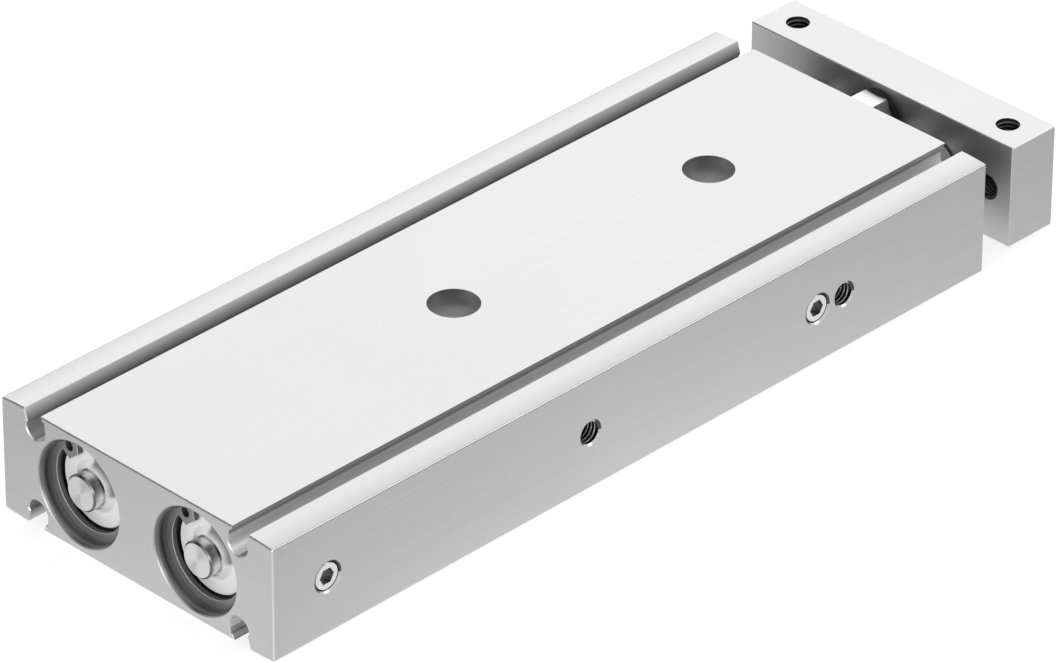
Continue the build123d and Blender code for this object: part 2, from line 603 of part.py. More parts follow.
def all_pieces():
    """Every piece by the name of its node."""
    pieces = {"cylinder_body": cylinder_body()}
    for side, y in SIDES.items():
        front_ring = BODY_LENGTH - RING_DEPTH - RING_THICKNESS
        cap_seal = REAR_SEAT_DEPTH - SEAL_FROM_SHOULDER - SEAL_GROOVE_WIDTH / 2
        guide_seal = FRONT_SHOULDER + SEAL_FROM_SHOULDER + SEAL_GROOVE_WIDTH / 2
        pieces[f"rear_cap_{side}"] = rear_cap(y)
        pieces[f"rear_cap_seal_{side}"] = static_seal(y, cap_seal)
        pieces[f"rear_retaining_ring_{side}"] = retaining_ring(y, RING_DEPTH)
        pieces[f"rod_guide_{side}"] = rod_guide(y)
        pieces[f"guide_bush_{side}"] = guide_bush(y)
        pieces[f"guide_seal_{side}"] = static_seal(y, guide_seal)
        pieces[f"rod_seal_{side}"] = rod_seal(y)
        pieces[f"front_retaining_ring_{side}"] = retaining_ring(y, front_ring)
        pieces[f"piston_{side}"] = piston(y)
        pieces[f"piston_seal_{side}"] = piston_seal(y)
        pieces[f"piston_magnet_{side}"] = piston_magnet(y)
        pieces[f"wear_ring_{side}"] = wear_ring(y)
        pieces[f"rear_bumper_{side}"] = bumper(y, PISTON_REAR)
        pieces[f"front_bumper_{side}"] = bumper(y, PISTON_CORE_FRONT)
        pieces[f"piston_rod_{side}"] = piston_rod(y)
        pieces[f"piston_screw_{side}"] = piston_screw(y)
        pieces[f"yoke_screw_{side}"] = yoke_screw(y)
    pieces["yoke_plate"] = yoke_plate()
    pieces["stop_screw"] = stop_screw()
    pieces["stop_nut"] = stop_nut()
    pieces["stop_washer"] = stop_washer()
    for place, x in zip(("rear", "front"), PORT_STATIONS):
        pieces[f"port_plug_{place}"] = port_plug(x)
    return pieces


os.makedirs("parts", exist_ok=True)
for name, piece in all_pieces().items():
    export_step(Pos(-ORIGIN_X, 0, 0) * piece, f"parts/{name}.step")
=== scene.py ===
"""Flat twin-piston cylinder with one yoke plate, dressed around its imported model.

Lengths are in metres, in the model's own frame: X along the stroke towards the yoke, Z up,
and the origin on the base midway between the two mounting holes.
"""

import json
import logging
import math
from dataclasses import dataclass
from enum import Enum
from typing import Any, Iterable

import bpy
from mathutils import Euler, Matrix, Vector


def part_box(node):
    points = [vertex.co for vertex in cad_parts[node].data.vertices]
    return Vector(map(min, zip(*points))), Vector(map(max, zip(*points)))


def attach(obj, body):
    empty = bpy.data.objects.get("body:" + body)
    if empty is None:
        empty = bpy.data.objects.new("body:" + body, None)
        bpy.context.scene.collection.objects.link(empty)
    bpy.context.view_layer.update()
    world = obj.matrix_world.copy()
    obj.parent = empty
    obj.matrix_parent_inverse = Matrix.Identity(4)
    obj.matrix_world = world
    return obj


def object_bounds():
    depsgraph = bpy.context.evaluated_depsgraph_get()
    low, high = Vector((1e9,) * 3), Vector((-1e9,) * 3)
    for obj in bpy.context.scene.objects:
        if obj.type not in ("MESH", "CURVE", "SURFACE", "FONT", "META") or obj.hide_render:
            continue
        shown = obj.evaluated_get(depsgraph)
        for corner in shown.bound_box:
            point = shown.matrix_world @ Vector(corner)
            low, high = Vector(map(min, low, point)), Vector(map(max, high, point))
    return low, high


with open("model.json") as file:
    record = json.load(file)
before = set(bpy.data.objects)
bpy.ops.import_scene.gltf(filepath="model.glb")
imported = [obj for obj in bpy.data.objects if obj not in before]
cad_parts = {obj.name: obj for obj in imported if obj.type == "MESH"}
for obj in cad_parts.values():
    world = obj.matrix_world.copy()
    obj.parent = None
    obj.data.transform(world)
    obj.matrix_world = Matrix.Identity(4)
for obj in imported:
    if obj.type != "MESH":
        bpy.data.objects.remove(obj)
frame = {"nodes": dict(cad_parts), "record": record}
CAD_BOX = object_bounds()

LOG = logging.getLogger("twin_piston_cylinder")
MM = 0.001
HOUSING = "housing"
CARRIAGE = "carriage"
SIDES = ("left", "right")
PLACES = ("rear", "front")

# A face looks along an axis where its normal's share that way is above FACING, and is a wall
# along that axis where the share is below SIDELONG. Chamfers lie between the two.
FACING = 0.85
SIDELONG = 0.5

# Added to a distance from an axis, so that a division by it holds on the axis too.
NEAR_AXIS = 0.01 * MM


class Grain(Enum):
    """Direction that the fine lines of a worked metal face follow."""

    STROKE = (1.0, 0.0, 0.0)
    ACROSS = (0.0, 1.0, 0.0)


class Signal:
    """An output socket that takes part in written arithmetic; each operation adds a Math node."""

    def __init__(self, tree: bpy.types.NodeTree, socket: bpy.types.NodeSocket) -> None:
        """Keep the tree and the socket."""
        self.tree = tree
        self.socket = socket

    def _math(self, operation: str, first: Any, second: Any = None) -> "Signal":
        """Add a Math node.

        Args:
            operation: The node's operation.
            first: Signal or number of its first input.
            second: Signal or number of its second input, where it has one.

        Returns:
            The node's output.
        """
        node = self.tree.nodes.new("ShaderNodeMath")
        node.operation = operation
        for socket, value in zip(node.inputs, (first, second)):
            if isinstance(value, Signal):
                self.tree.links.new(value.socket, socket)
            elif value is not None:
                socket.default_value = value
        return Signal(self.tree, node.outputs[0])

    def __add__(self, other: Any) -> "Signal":
        """Sum with a signal or a number."""
        return self._math("ADD", self, other)

    def __radd__(self, other: Any) -> "Signal":
        """Sum with a number on the left."""
        return self._math("ADD", other, self)

    def __sub__(self, other: Any) -> "Signal":
        """Difference to a signal or a number."""
        return self._math("SUBTRACT", self, other)

    def __rsub__(self, other: Any) -> "Signal":
        """Difference of a number to this signal."""
        return self._math("SUBTRACT", other, self)

    def __mul__(self, other: Any) -> "Signal":
        """Product with a signal or a number."""
        return self._math("MULTIPLY", self, other)

    def __rmul__(self, other: Any) -> "Signal":
        """Product with a number on the left."""
        return self._math("MULTIPLY", other, self)

    def __truediv__(self, other: Any) -> "Signal":
        """Quotient by a signal or a number."""
        return self._math("DIVIDE", self, other)

    def __rtruediv__(self, other: Any) -> "Signal":
        """Quotient of a number by this signal."""
        return self._math("DIVIDE", other, self)

    def __pow__(self, other: Any) -> "Signal":
        """Power of this signal."""
        return self._math("POWER", self, other)

    def __abs__(self) -> "Signal":
        """Size without the sign."""
        return self._math("ABSOLUTE", self)

    def root(self) -> "Signal":
        """Square root."""
        return self._math("SQRT", self)

    def above(self, limit: float) -> "Signal":
        """1 where this signal is greater than limit, otherwise 0."""
        return self._math("GREATER_THAN", self, limit)

    def below(self, limit: float) -> "Signal":
        """1 where this signal is less than limit, otherwise 0."""
        return self._math("LESS_THAN", self, limit)

    def sign(self) -> "Signal":
        """1, 0 or -1 like this signal."""
        return self._math("SIGN", self)

    def between(self, low: float, high: float) -> "Signal":
        """1 where this signal lies between two limits, otherwise 0."""
        return self.above(low) * self.below(high)

    def least(self, other: "Signal") -> "Signal":
        """The smaller of two signals."""
        return self._math("MINIMUM", self, other)

    def or_else(self, other: "Signal") -> "Signal":
        """The greater of two signals."""
        return self._math("MAXIMUM", self, other)

    def held(self) -> "Signal":
        """This signal kept between 0 and 1."""
        low = self._math("MAXIMUM", self, 0.0)
        return low._math("MINIMUM", low, 1.0)

    def swing(self) -> "Signal":
        """Noise between 0 and 1 as its distance from the mean."""
        return self - 0.5


class NodeSheet:
    """Node tree of a material or of the world; one method adds what isn't arithmetic."""

    def __init__(self, owner: bpy.types.ID) -> None:
        """Switch the owner's nodes on and clear them.

        Args:
            owner: Material or world.
        """
        owner.use_nodes = True
        self.tree = owner.node_tree
        self.tree.nodes.clear()

    def node(
        self, kind: str, settings: dict[str, Any], inputs: dict[Any, Any]
    ) -> bpy.types.Node:
        """Add a node, set its settings first, then its inputs.

        Args:
            kind: Node type without its "ShaderNode" prefix.
            settings: Attributes of the node.
            inputs: Value or Signal of each input, by name or number.

        Returns:
            The node.
        """
        node = self.tree.nodes.new("ShaderNode" + kind)
        for name, value in settings.items():
            setattr(node, name, value)
        for name, value in inputs.items():
            if isinstance(value, Signal):
                self.tree.links.new(value.socket, node.inputs[name])
            else:
                node.inputs[name].default_value = value
        return node

    def signal(
        self, kind: str, settings: dict[str, Any], inputs: dict[Any, Any], output: Any = 0
    ) -> Signal:
        """Add a node and take one of its outputs as a Signal."""
        return Signal(self.tree, self.node(kind, settings, inputs).outputs[output])

    def seen(self) -> Signal:
        """1 for rays that come straight from the camera, otherwise 0."""
        return self.signal("LightPath", {}, {}, "Is Camera Ray")


class Paint(NodeSheet):
    """Node tree of one new material."""

    def __init__(self, name: str) -> None:
        """Start an empty material.

        Args:
            name: The material's name.
        """
        self.material = bpy.data.materials.new(name)
        super().__init__(self.material)

    def place(self) -> Signal:
        """Point on the surface in the model's frame."""
        return self.signal("TexCoord", {}, {}, "Object")

    def parts(self, vector: Signal) -> tuple[Signal, Signal, Signal]:
        """The three numbers of a vector."""
        node = self.node("SeparateXYZ", {}, {0: vector})
        return tuple(Signal(self.tree, output) for output in node.outputs)

    def vector(self, x: Any, y: Any, z: Any) -> Signal:
        """A vector of three signals or numbers."""
        return self.signal("CombineXYZ", {}, {0: x, 1: y, 2: z})

    def stretched(self, point: Signal, scale: Iterable[float]) -> Signal:
        """A point scaled apart along each axis."""
        values = {"Vector": point, "Scale": tuple(scale)}
        return self.signal("Mapping", {"vector_type": "POINT"}, values)

    def noise(
        self, point: Signal, size: float, detail: float = 2.0, roughness: float = 0.5
    ) -> Signal:
        """Smooth noise between 0 and 1, with patches of that size."""
        values = {"Vector": point, "Scale": 1 / size, "Detail": detail, "Roughness": roughness}
        return self.signal("TexNoise", {}, values, "Fac")

    def shade(self, colour: tuple[float, float, float], factor: Signal) -> Signal:
        """A colour made darker or lighter by a factor around 1."""
        base = self.vector(*colour)
        return self.signal("VectorMath", {"operation": "SCALE"}, {0: base, "Scale": factor})

    def facing(self) -> tuple[Signal, Signal, Signal]:
        """The three numbers of the surface's normal."""
        return self.parts(self.signal("NewGeometry", {}, {}, "Normal"))

    def bump(self, height: Signal, depth: float) -> Signal:
        """Normal of a surface raised by height times depth."""
        return self.signal("Bump", {}, {"Strength": 1.0, "Distance": depth, "Height": height})

    def close(self, inputs: dict[Any, Any]) -> bpy.types.Material:
        """End the tree in one Principled shader with these inputs."""
        self.node("OutputMaterial", {}, {"Surface": self.signal("BsdfPrincipled", {}, inputs)})
        return self.material


@dataclass(frozen=True)
class BrushedMetal:
    """Metal with fine parallel lines, such as an anodised extrusion or a milled plate.

    Attributes:
        slot: Material slot of the record.
        colour: Base colour.
        roughness: Mean roughness.
        metallic: Share of metal in the reflection.
        grain: Direction of the lines.
        end_grain: Direction of the lines on faces that look along grain.
        line_width: Width of a line.
        line_length: Length of a line.
        contrast: Change of brightness between lines.
        sheen_change: Change of roughness between lines.
        patch_size: Size of the soft patches that lie over the lines.
        patch_change: Change of roughness between patches.
        depth: Depth of the lines.
    """

    slot: str
    colour: tuple[float, float, float] = (0.80, 0.80, 0.80)
    roughness: float = 0.40
    metallic: float = 1.0
    grain: Grain = Grain.STROKE
    end_grain: Grain = Grain.ACROSS
    line_width: float = 0.26 * MM
    line_length: float = 24.0 * MM
    contrast: float = 0.10
    sheen_change: float = 0.16
    patch_size: float = 18 * MM
    patch_change: float = 0.06
    depth: float = 0.004 * MM

    def lines(self, paint: Paint, point: Signal, grain: Grain) -> Signal:
        """Noise drawn out along one direction."""
        scale = [1 / self.line_length if along else 1 / self.line_width for along in grain.value]
        return paint.noise(paint.stretched(point, scale), 1.0, detail=3.0, roughness=0.6)

    def painted_light_and_gloss(
        self, paint: Paint, point: Signal, facing: tuple[Signal, Signal, Signal]
    ) -> tuple[Any, Any, Any]:
        """Find the painted shade and painted highlights of recesses and cut edges; here there are
        none.

        Args:
            paint: The material's node tree; not used here.
            point: Point on the surface; not used here.
            facing: The three numbers of the normal; not used here.

        Returns:
            Shares of brightness lost to painted shade, of metallic look and of roughness lost
            there.
        """
        return 0.0, 0.0, 0.0

    def material(self) -> bpy.types.Material:
        """Build the finish."""
        paint = Paint(self.slot)
        point = paint.place()
        facing = paint.facing()
        axis = self.grain.value.index(1.0)
        on_end = abs(facing[axis]).above(FACING)
        lines = self.lines(paint, point, self.grain)
        lines = lines + on_end * (self.lines(paint, point, self.end_grain) - lines)
        patches = paint.noise(point, self.patch_size)
        tint = 1 + self.contrast * (2 * lines.swing() + 0.5 * patches.swing())
        sheen = self.sheen_change * lines.swing() + self.patch_change * patches.swing()
        # Painted shade, and painted highlight where the share is below 0, with the metallic look
        # and roughness lost in the same places.
        loss, matt, polish = self.painted_light_and_gloss(paint, point, facing)
        return paint.close(
            {
                "Base Color": paint.shade(self.colour, tint * (1 - loss)),
                "Metallic": self.metallic - matt,
                "Roughness": (self.roughness - polish + sheen).held(),
                "Normal": paint.bump(lines, self.depth),
            }
        )


def mount(name: str) -> dict[str, Any]:
    """The record's mount of that name."""
    return next(entry for entry in frame["record"]["mounts"] if entry["name"] == name)


def within(first: Signal, second: Signal, radius: float) -> Signal:
    """1 where two distances from an axis lie within a radius around it."""
    return (first * first + second * second).below(radius * radius)


@dataclass(frozen=True)
class ExtrusionMetal(BrushedMetal):
    """Brushed metal of the body, with painted shade and highlights on its slots, bores, holes and
    edges.

    Attributes:
        slot_inner: Distance of the slots' inner walls from the middle plane.
        slot_outer: Distance of the slots' outer walls from the middle plane.
        bore_spacing: Distance of the bore axes from the middle plane.
        bore_reach: Radius that holds the bores, seats and ring grooves.
        mouth_middle: Radius of the middle of the chamfers at the bores' mouths.
        rim_loss: Share of brightness that those chamfers lose to painted shade.
        inner_rim_loss: Further share of painted shade that their inner half loses.
        head_reach: Radius that holds the counterbores.
        head_loss: Share of brightness that the counterbores lose to painted shade at their tops.
        head_gain: Share that they have back at head_depth.
        head_depth: Depth from which they are lightest.
        head_far_loss: Further share of painted shade that the part of the wall towards the yoke's
            left end loses.
        head_far_from: Share of the radius at which that part starts.
        head_matt: Share of the metallic look that the counterbores lose.
        thread_reach: Radius that holds the side threads and ports with their mouths.
        thread_loss: Share of brightness lost to painted shade between a thread's crests.
        crest_gain: Share that the crests have back, as a painted highlight.
        crest: Height of a thread's crest over the drilled wall.
        mouth_depth: Depth of the chamfers at the mouths of the side threads and ports.
        mouth_upper_loss: Share of brightness that those chamfers lose to painted shade at the upper
            front.
        mouth_upper: Distances ahead of and above a hole's axis from which they do.
        mouth_rear_loss: Share of brightness that they lose to painted shade at the rear.
        mouth_rear: Distance behind the axis from which they do.
        skin: Depth under the outer faces at which a recess starts.
        bore_loss: Share of brightness that the walls of the bores lose to painted shade at their
            mouths.
        bore_deep_loss: Further share of painted shade that they lose at bore_dark_at.
        bore_dark_at: Depth at which they are darkest.
        bore_dark_height: Height over the middle at which they are darkest.
        bore_dark_reach: Distance from that height at which they lose nothing more.
        slot_light: Share of brightness that a slot's outer wall loses at its top; it is below 0, a
            painted highlight.
        slot_dark: Share of brightness that it loses to painted shade at slot_depth.
        slot_depth: Depth under the top or the base at which a slot is darkest.
        slot_matt: Share of the metallic look that the slots lose.
        lip_loss: Share of brightness that a slot's inner wall loses to painted shade on its lip.
        lip_line: Depth to which it loses as much again.
        lip_depth: Depth of the lip.
        groove_loss: Share of brightness lost to painted shade in the line under the lip.
        groove_depth: Depth to which that line reaches.
        channel_gain: Share of brightness gained deeper in the channel, as painted light.
        crown_loss: Share of brightness that the top loses to painted shade towards the body's long
            edges.
        crown_width: Width over which it does.
        crown_facing: Share of a normal upwards or downwards from which a face belongs to it.
        edge_width: Width of the rounded outer edges, which are smoother.
        edge_facing: Shares of a normal across the stroke between which they lie.
        edge_polish: How much smoother they are.
        corner_facing: Share of a normal along the stroke from which an edge is a corner.
        corner_gain: Share of brightness that the corners gain, as a painted highlight.
    """

    slot_inner: float = 19.3 * MM
    slot_outer: float = 24.05 * MM
    bore_spacing: float = 12.5 * MM
    bore_reach: float = 9.0 * MM
    mouth_middle: float = 8.74 * MM
    rim_loss: float = 0.28
    inner_rim_loss: float = 0.42
    head_reach: float = 4.25 * MM
    head_loss: float = 0.5
    head_gain: float = 0.45
    head_depth: float = 3.0 * MM
    head_far_loss: float = 0.3
    head_far_from: float = 0.75
    head_matt: float = 0.1925
    thread_reach: float = 2.8 * MM
    thread_loss: float = 0.95
    crest_gain: float = 0.55
    crest: float = 0.16 * MM
    mouth_depth: float = 0.32 * MM
    mouth_upper_loss: float = 0.85
    mouth_upper: tuple[float, float] = (1.0 * MM, -0.3 * MM)
    mouth_rear_loss: float = 0.5
    mouth_rear: float = 1.4 * MM
    skin: float = 0.02 * MM
    bore_loss: float = 0.34
    bore_deep_loss: float = 0.6
    bore_dark_at: float = 1.3 * MM
    bore_dark_height: float = -2.0 * MM
    bore_dark_reach: float = 12.0 * MM
    slot_light: float = -0.35
    slot_dark: float = 0.58
    slot_depth: float = 1.9 * MM
    slot_matt: float = 0.55
    lip_loss: float = 0.28
    lip_line: float = 0.2 * MM
    lip_depth: float = 1.25 * MM
    groove_loss: float = 0.42
    groove_depth: float = 1.9 * MM
    channel_gain: float = 0.18
    crown_loss: float = 0.12
    crown_width: float = 3.0 * MM
    crown_facing: float = 0.8
    edge_width: float = 0.3 * MM
    edge_facing: tuple[float, float] = (0.15, 0.97)
    edge_polish: float = 0.14
    corner_facing: float = 0.15
    corner_gain: float = 0.38

    def slots(self, under: Signal, facing_out: Signal) -> Signal:
        """Find the painted shade and highlights on the walls of the slots.

        The outer walls have a painted highlight at their top and painted shade that grows with
        their depth, and the inner ones have painted shade that is darkest at the lip.

        Args:
            under: Depth under the top or the base.
            facing_out: Share of the normal away from the middle plane.

        Returns:
            The share of brightness lost to painted shade, below 0 where a highlight is painted.
        """
        sunk = (under / self.slot_depth).held()
        outer = self.slot_light + (self.slot_dark - self.slot_light) * sunk
        line_loss = self.lip_loss * under.below(self.lip_line)
        groove_loss = self.groove_loss * under.between(self.lip_depth, self.groove_depth)
        inner = self.lip_loss * under.below(self.lip_depth) + line_loss + groove_loss
        inner = inner - self.channel_gain * under.above(self.groove_depth)
        return outer + facing_out.above(0.0) * (inner - outer)

    def heads(self, ahead: Signal, aside: Signal, under: Signal) -> Signal:
        """Find the painted shade in the counterbores: less with their depth, more on their far
        walls.

        Args:
            ahead: Distance along the stroke from a counterbore's axis.
            aside: Distance from it to the left.
            under: Depth under the top.

        Returns:
            The share of brightness lost to painted shade.
        """
        sunk = (under / self.head_depth).held()
        far = (ahead + aside) / (math.sqrt(2) * self.head_reach)
        far_wall = ((far - self.head_far_from) / (1 - self.head_far_from)).held()
        return self.head_loss - self.head_gain * sunk + self.head_far_loss * far_wall * (1 - sunk)

    def holes(self, x: Signal, above: Signal, depth: Signal) -> tuple[Signal, Signal]:
        """Find the painted shade in the side threads and ports, with painted highlights on the
        crests, and where their mouths are.

        Args:
            x: Station along the stroke.
            above: Height over the middle.
            depth: Depth under the side face.

        Returns:
            The share of brightness lost to painted shade and 1 on the chamfered mouths.
        """
        stations = [mount(f"side_thread_{place}_left") for place in PLACES]
        stations += [mount(f"air_port_{place}") for place in PLACES]
        loss = 0.0
        mouths = 0.0
        upper_ahead, upper_above = self.mouth_upper
        under = depth.above(self.skin)
        for entry in stations:
            ahead = x - entry["pos_m"][0]
            zone = within(ahead, above, self.thread_reach) * under
            crests = within(ahead, above, entry["dims"]["r_mm"] * MM - self.crest)
            mouth = zone * depth.below(self.mouth_depth)
            # Painted shade on the upper front and the rear of each mouth's chamfer.
            upper = self.mouth_upper_loss * ahead.above(upper_ahead) * above.above(upper_above)
            rear = self.mouth_rear_loss * ahead.below(-self.mouth_rear)
            # Painted shade on the drilled wall, less on the crests as a painted highlight.
            walls = self.thread_loss - self.crest_gain * crests
            loss = loss + mouth * (upper + rear) + (zone - mouth) * walls
            mouths = mouths + mouth
        return loss, mouths

    def bores(
        self, aside: Signal, above: Signal, from_end: Signal, facing_end: Signal
    ) -> Signal:
        """Find the painted shade on the walls of the bores and on the chamfers at their mouths.

        Args:
            aside: Distance of the surface from the nearer bore's axis, across the stroke.
            above: Height over the axis.
            from_end: Distance from the nearer end of the body.
            facing_end: Share of the normal along the stroke.

        Returns:
            The share of brightness lost to painted shade.
        """
        off = (above - self.bore_dark_height) / self.bore_dark_reach
        deep = (1 - abs(from_end / self.bore_dark_at - 1)).held() * (1 - off * off).held()
        inner_rim = within(aside, above, self.mouth_middle)
        walls = facing_end.below(SIDELONG) * (self.bore_loss + self.bore_deep_loss * deep)
        rims = facing_end.between(SIDELONG, FACING)
        return walls + rims * (self.rim_loss + self.inner_rim_loss * inner_rim)

    def painted_light_and_gloss(
        self, paint: Paint, point: Signal, facing: tuple[Signal, Signal, Signal]
    ) -> tuple[Any, Any, Any]:
        """Find the painted shade and highlights of the slots, bores, holes and outer edges, and the
        metallic look and roughness that they lose.

        Args:
            paint: The material's node tree.
            point: Point on the surface.
            facing: The three numbers of the normal.

        Returns:
            Shares of brightness lost to painted shade, of metallic look and of roughness lost
            there.
        """
        low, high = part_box("cylinder_body")
        x, y, z = paint.parts(point)
        above = z - (low.z + high.z) / 2
        aside = abs(y)
        under = (high.z - low.z) / 2 - abs(above)
        from_end = (high.x - low.x) / 2 - abs(x - (low.x + high.x) / 2)
        inside_top = under.above(self.skin)
        facing_end, facing_side, facing_top = (abs(share) for share in facing)
        from_bore = aside - self.bore_spacing
        in_bore = within(from_bore, above, self.bore_reach)
        slots = aside.between(self.slot_inner, self.slot_outer) * inside_top
        slots = slots * facing_end.below(SIDELONG) * (1 - in_bore)
        half_pitch = mount("body_bolts")["dims"]["spacing_x_mm"] * MM / 2
        ahead = x - x.sign() * half_pitch
        heads = within(ahead, y, self.head_reach) * inside_top
        hole_loss, mouths = self.holes(x, above, high.y - aside)
        edges = aside.above(high.y - self.edge_width) * facing_side.between(*self.edge_facing)
        edges = edges * (1 - mouths)
        corners = edges * facing_end.above(self.corner_facing)
        crown = ((aside - (high.y - self.crown_width)) / self.crown_width).held()
        crown = crown * facing_top.above(self.crown_facing)
        # Painted shade in the slots, bores, counterbores and holes and towards the top's long
        # edges, and a painted highlight on the corners.
        loss = slots * self.slots(under, facing[1] * y.sign())
        loss = loss + in_bore * self.bores(from_bore, above, from_end, facing_end)
        loss = loss + heads * self.heads(ahead, y, under) + hole_loss
        loss = loss + crown * self.crown_loss - corners * self.corner_gain
        matt = slots * self.slot_matt + heads * self.head_matt
        return loss, matt, edges.or_else(mouths) * self.edge_polish


@dataclass(frozen=True)
class PlateMetal(BrushedMetal):
    """Brushed metal of the yoke plate, with painted shade in its tapped holes.

    Attributes:
        reach: Radius that holds a tapped hole.
        thread_loss: Share of brightness that the tapped holes lose to painted shade.
        skin: Depth under the outer faces at which a recess starts.
    """

    reach: float = 2.3 * MM
    thread_loss: float = 0.80
    skin: float = 0.02 * MM

    def painted_light_and_gloss(
        self, paint: Paint, point: Signal, facing: tuple[Signal, Signal, Signal]
    ) -> tuple[Any, Any, Any]:
        """Find the painted shade in the tapped holes.

        Args:
            paint: The material's node tree.
            point: Point on the surface.
            facing: The three numbers of the normal; not used here.

        Returns:
            Shares of brightness lost to painted shade, of metallic look and of roughness lost
            there.
        """
        low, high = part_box("yoke_plate")
        middle = (low + high) / 2
        inside = (high - low) / 2 - Vector((self.skin, self.skin, self.skin))
        x, y, z = paint.parts(point)
        ahead = x - middle.x
        above = z - middle.z
        aside_top = abs(y) - mount("yoke_top_threads")["dims"]["spacing_y_mm"] * MM / 2
        aside_face = abs(y) - mount("yoke_face_threads")["dims"]["spacing_x_mm"] * MM / 2
        upright = within(ahead, aside_top, self.reach) * abs(above).below(inside.z)
        along = within(above, aside_face, self.reach) * abs(ahead).below(inside.x)
        # Painted shade on the walls of the tapped holes.
        return upright.or_else(along) * self.thread_loss, 0.0, 0.0


@dataclass(frozen=True)
class TurnedMetal:
    """Metal turned on a lathe around one of the two bore axes: fine rings around the axis, with
    painted reflections and painted shade.

    Attributes:
        slot: Material slot of the record.
        colour: Base colour.
        roughness: Mean roughness.
        spacing: Distance of both bore axes from the middle plane.
        height: Height of the bore axes.
        pitch: Width of a tool mark.
        depth: Depth of a tool mark.
        contrast: Change of brightness between marks.
        sheen_change: Change of roughness between marks.
        patch_size: Size of the soft patches that lie over the marks.
        patch_change: Change of roughness between patches.
        metallic: Share of metal in the reflection.
        painted_sector_reflection: Share of brightness lost in the two darker sectors of a turned
            end face, a painted reflection.
        sector_run: Direction of those painted sectors across the bore, to the right and up.
        sector_sharpness: How narrow they are.
        painted_reflection_bands: Strength of the four light and four dark stripes of painted
            reflection along a turned round wall.
        band_turn: Turn of the bands, in degrees of their wave.
        band_level: Height of the wave that leaves the brightness as it is.
        boss_reach: Radius of a fully metallic boss in the middle.
        boss_painted_shade: Share of brightness that the boss loses to painted shade.
        boss_edge_painted_shade: Further share of painted shade that its chamfer loses.
        flat_painted_shade: Share of brightness that the flat end face around the flare loses to
            painted shade.
        sickle_painted_shade: Share of brightness lost in a soft sickle of painted shade at the
            flare's foot.
        sickle_run: Direction of that sickle across the bore, to the right and up.
        sickle_span: Shares of that direction at which it starts and is full.
        sickle_radius: Radius of the sickle.
        sickle_width: Distance from its middle at which it has faded.
        bright_reach: Radius beyond which the piece lies in a deep gap.
        gap_painted_shade: Share of brightness that it loses there to painted shade.
        painted_contact_shadow: Width of the painted contact shadow in front of the yoke.
        contact_shadow_loss: Share of brightness lost in that painted shadow.
    """

    slot: str
    colour: tuple[float, float, float] = (0.86, 0.86, 0.86)
    roughness: float = 0.24
    spacing: float = 12.5 * MM
    height: float = 10.0 * MM
    pitch: float = 0.09 * MM
    depth: float = 0.006 * MM
    contrast: float = 0.06
    sheen_change: float = 0.12
    patch_size: float = 5 * MM
    patch_change: float = 0.05
    metallic: float = 1.0
    painted_sector_reflection: float = 0.0
    sector_run: tuple[float, float] = (0.47, 0.88)
    sector_sharpness: float = 4.0
    painted_reflection_bands: float = 0.0
    band_turn: float = 40.0
    band_level: float = 0.4
    boss_reach: float = 0.0
    boss_painted_shade: float = 0.0
    boss_edge_painted_shade: float = 0.75
    flat_painted_shade: float = 0.0
    sickle_painted_shade: float = 0.0
    sickle_run: tuple[float, float] = (0.7, 0.7)
    sickle_span: tuple[float, float] = (0.62, 0.74)
    sickle_radius: float = 4.05 * MM
    sickle_width: float = 0.8 * MM
    bright_reach: float = 8.6 * MM
    gap_painted_shade: float = 0.85
    painted_contact_shadow: float = 0.0
    contact_shadow_loss: float = 0.9

    def sectors(self, to_right: Signal, to_top: Signal) -> Signal:
        """1 in the middle of the two darker sectors of painted reflection on an end face, fading to
        0 beside them.
        """
        right, up = self.sector_run
        run = to_top * up + to_right * right
        return (run * run) ** self.sector_sharpness

    def waves(self, to_right: Signal, to_top: Signal) -> Signal:
        """Cosine of four times the angle around the axis, turned by band_turn, which shapes the
        painted reflection stripes.
        """
        twice_cos = to_right * to_right - to_top * to_top
        twice_sin = 2 * to_right * to_top
        fourfold_cos = twice_cos * twice_cos - twice_sin * twice_sin
        fourfold_sin = 2 * twice_sin * twice_cos
        turn = math.radians(self.band_turn)
        return math.cos(turn) * fourfold_cos - math.sin(turn) * fourfold_sin

    def sickle(self, to_right: Signal, to_top: Signal, radius: Signal) -> Signal:
        """1 in the middle of the painted shade sickle at the flare's foot, fading to 0 beside it.
        """
        right, up = self.sickle_run
        start, full = self.sickle_span
        around = ((right * to_right + up * to_top - start) / (full - start)).held()
        return around * (1 - abs(radius - self.sickle_radius) / self.sickle_width).held()

    def material(self) -> bpy.types.Material:
        """Build the finish."""
        paint = Paint(self.slot)
        point = paint.place()
        facing_end = abs(paint.facing()[0])
        x, y, z = paint.parts(point)
        aside = abs(y) - self.spacing
        above = z - self.height
        radius = (aside * aside + above * above).root()
        to_right = aside * y.sign() * -1 / (radius + NEAR_AXIS)
        to_top = above / (radius + NEAR_AXIS)
        end = facing_end.above(FACING)
        wall = facing_end.below(SIDELONG)
        sloped = facing_end.between(SIDELONG, FACING)
        boss = radius.below(self.boss_reach)
        marks = paint.noise(paint.vector(radius / self.pitch, x / self.pitch, 0.0), 1.0)
        patches = paint.noise(point, self.patch_size)
        tint = 1 + self.contrast * (2 * marks.swing() + patches.swing())
        # Painted reflection: light and dark stripes on round walls and two darker sectors on end
        # faces.
        tint = tint * (1 + self.painted_reflection_bands * wall * (self.waves(to_right, to_top) - self.band_level))
        tint = tint * (1 - self.painted_sector_reflection * self.sectors(to_right, to_top) * end)
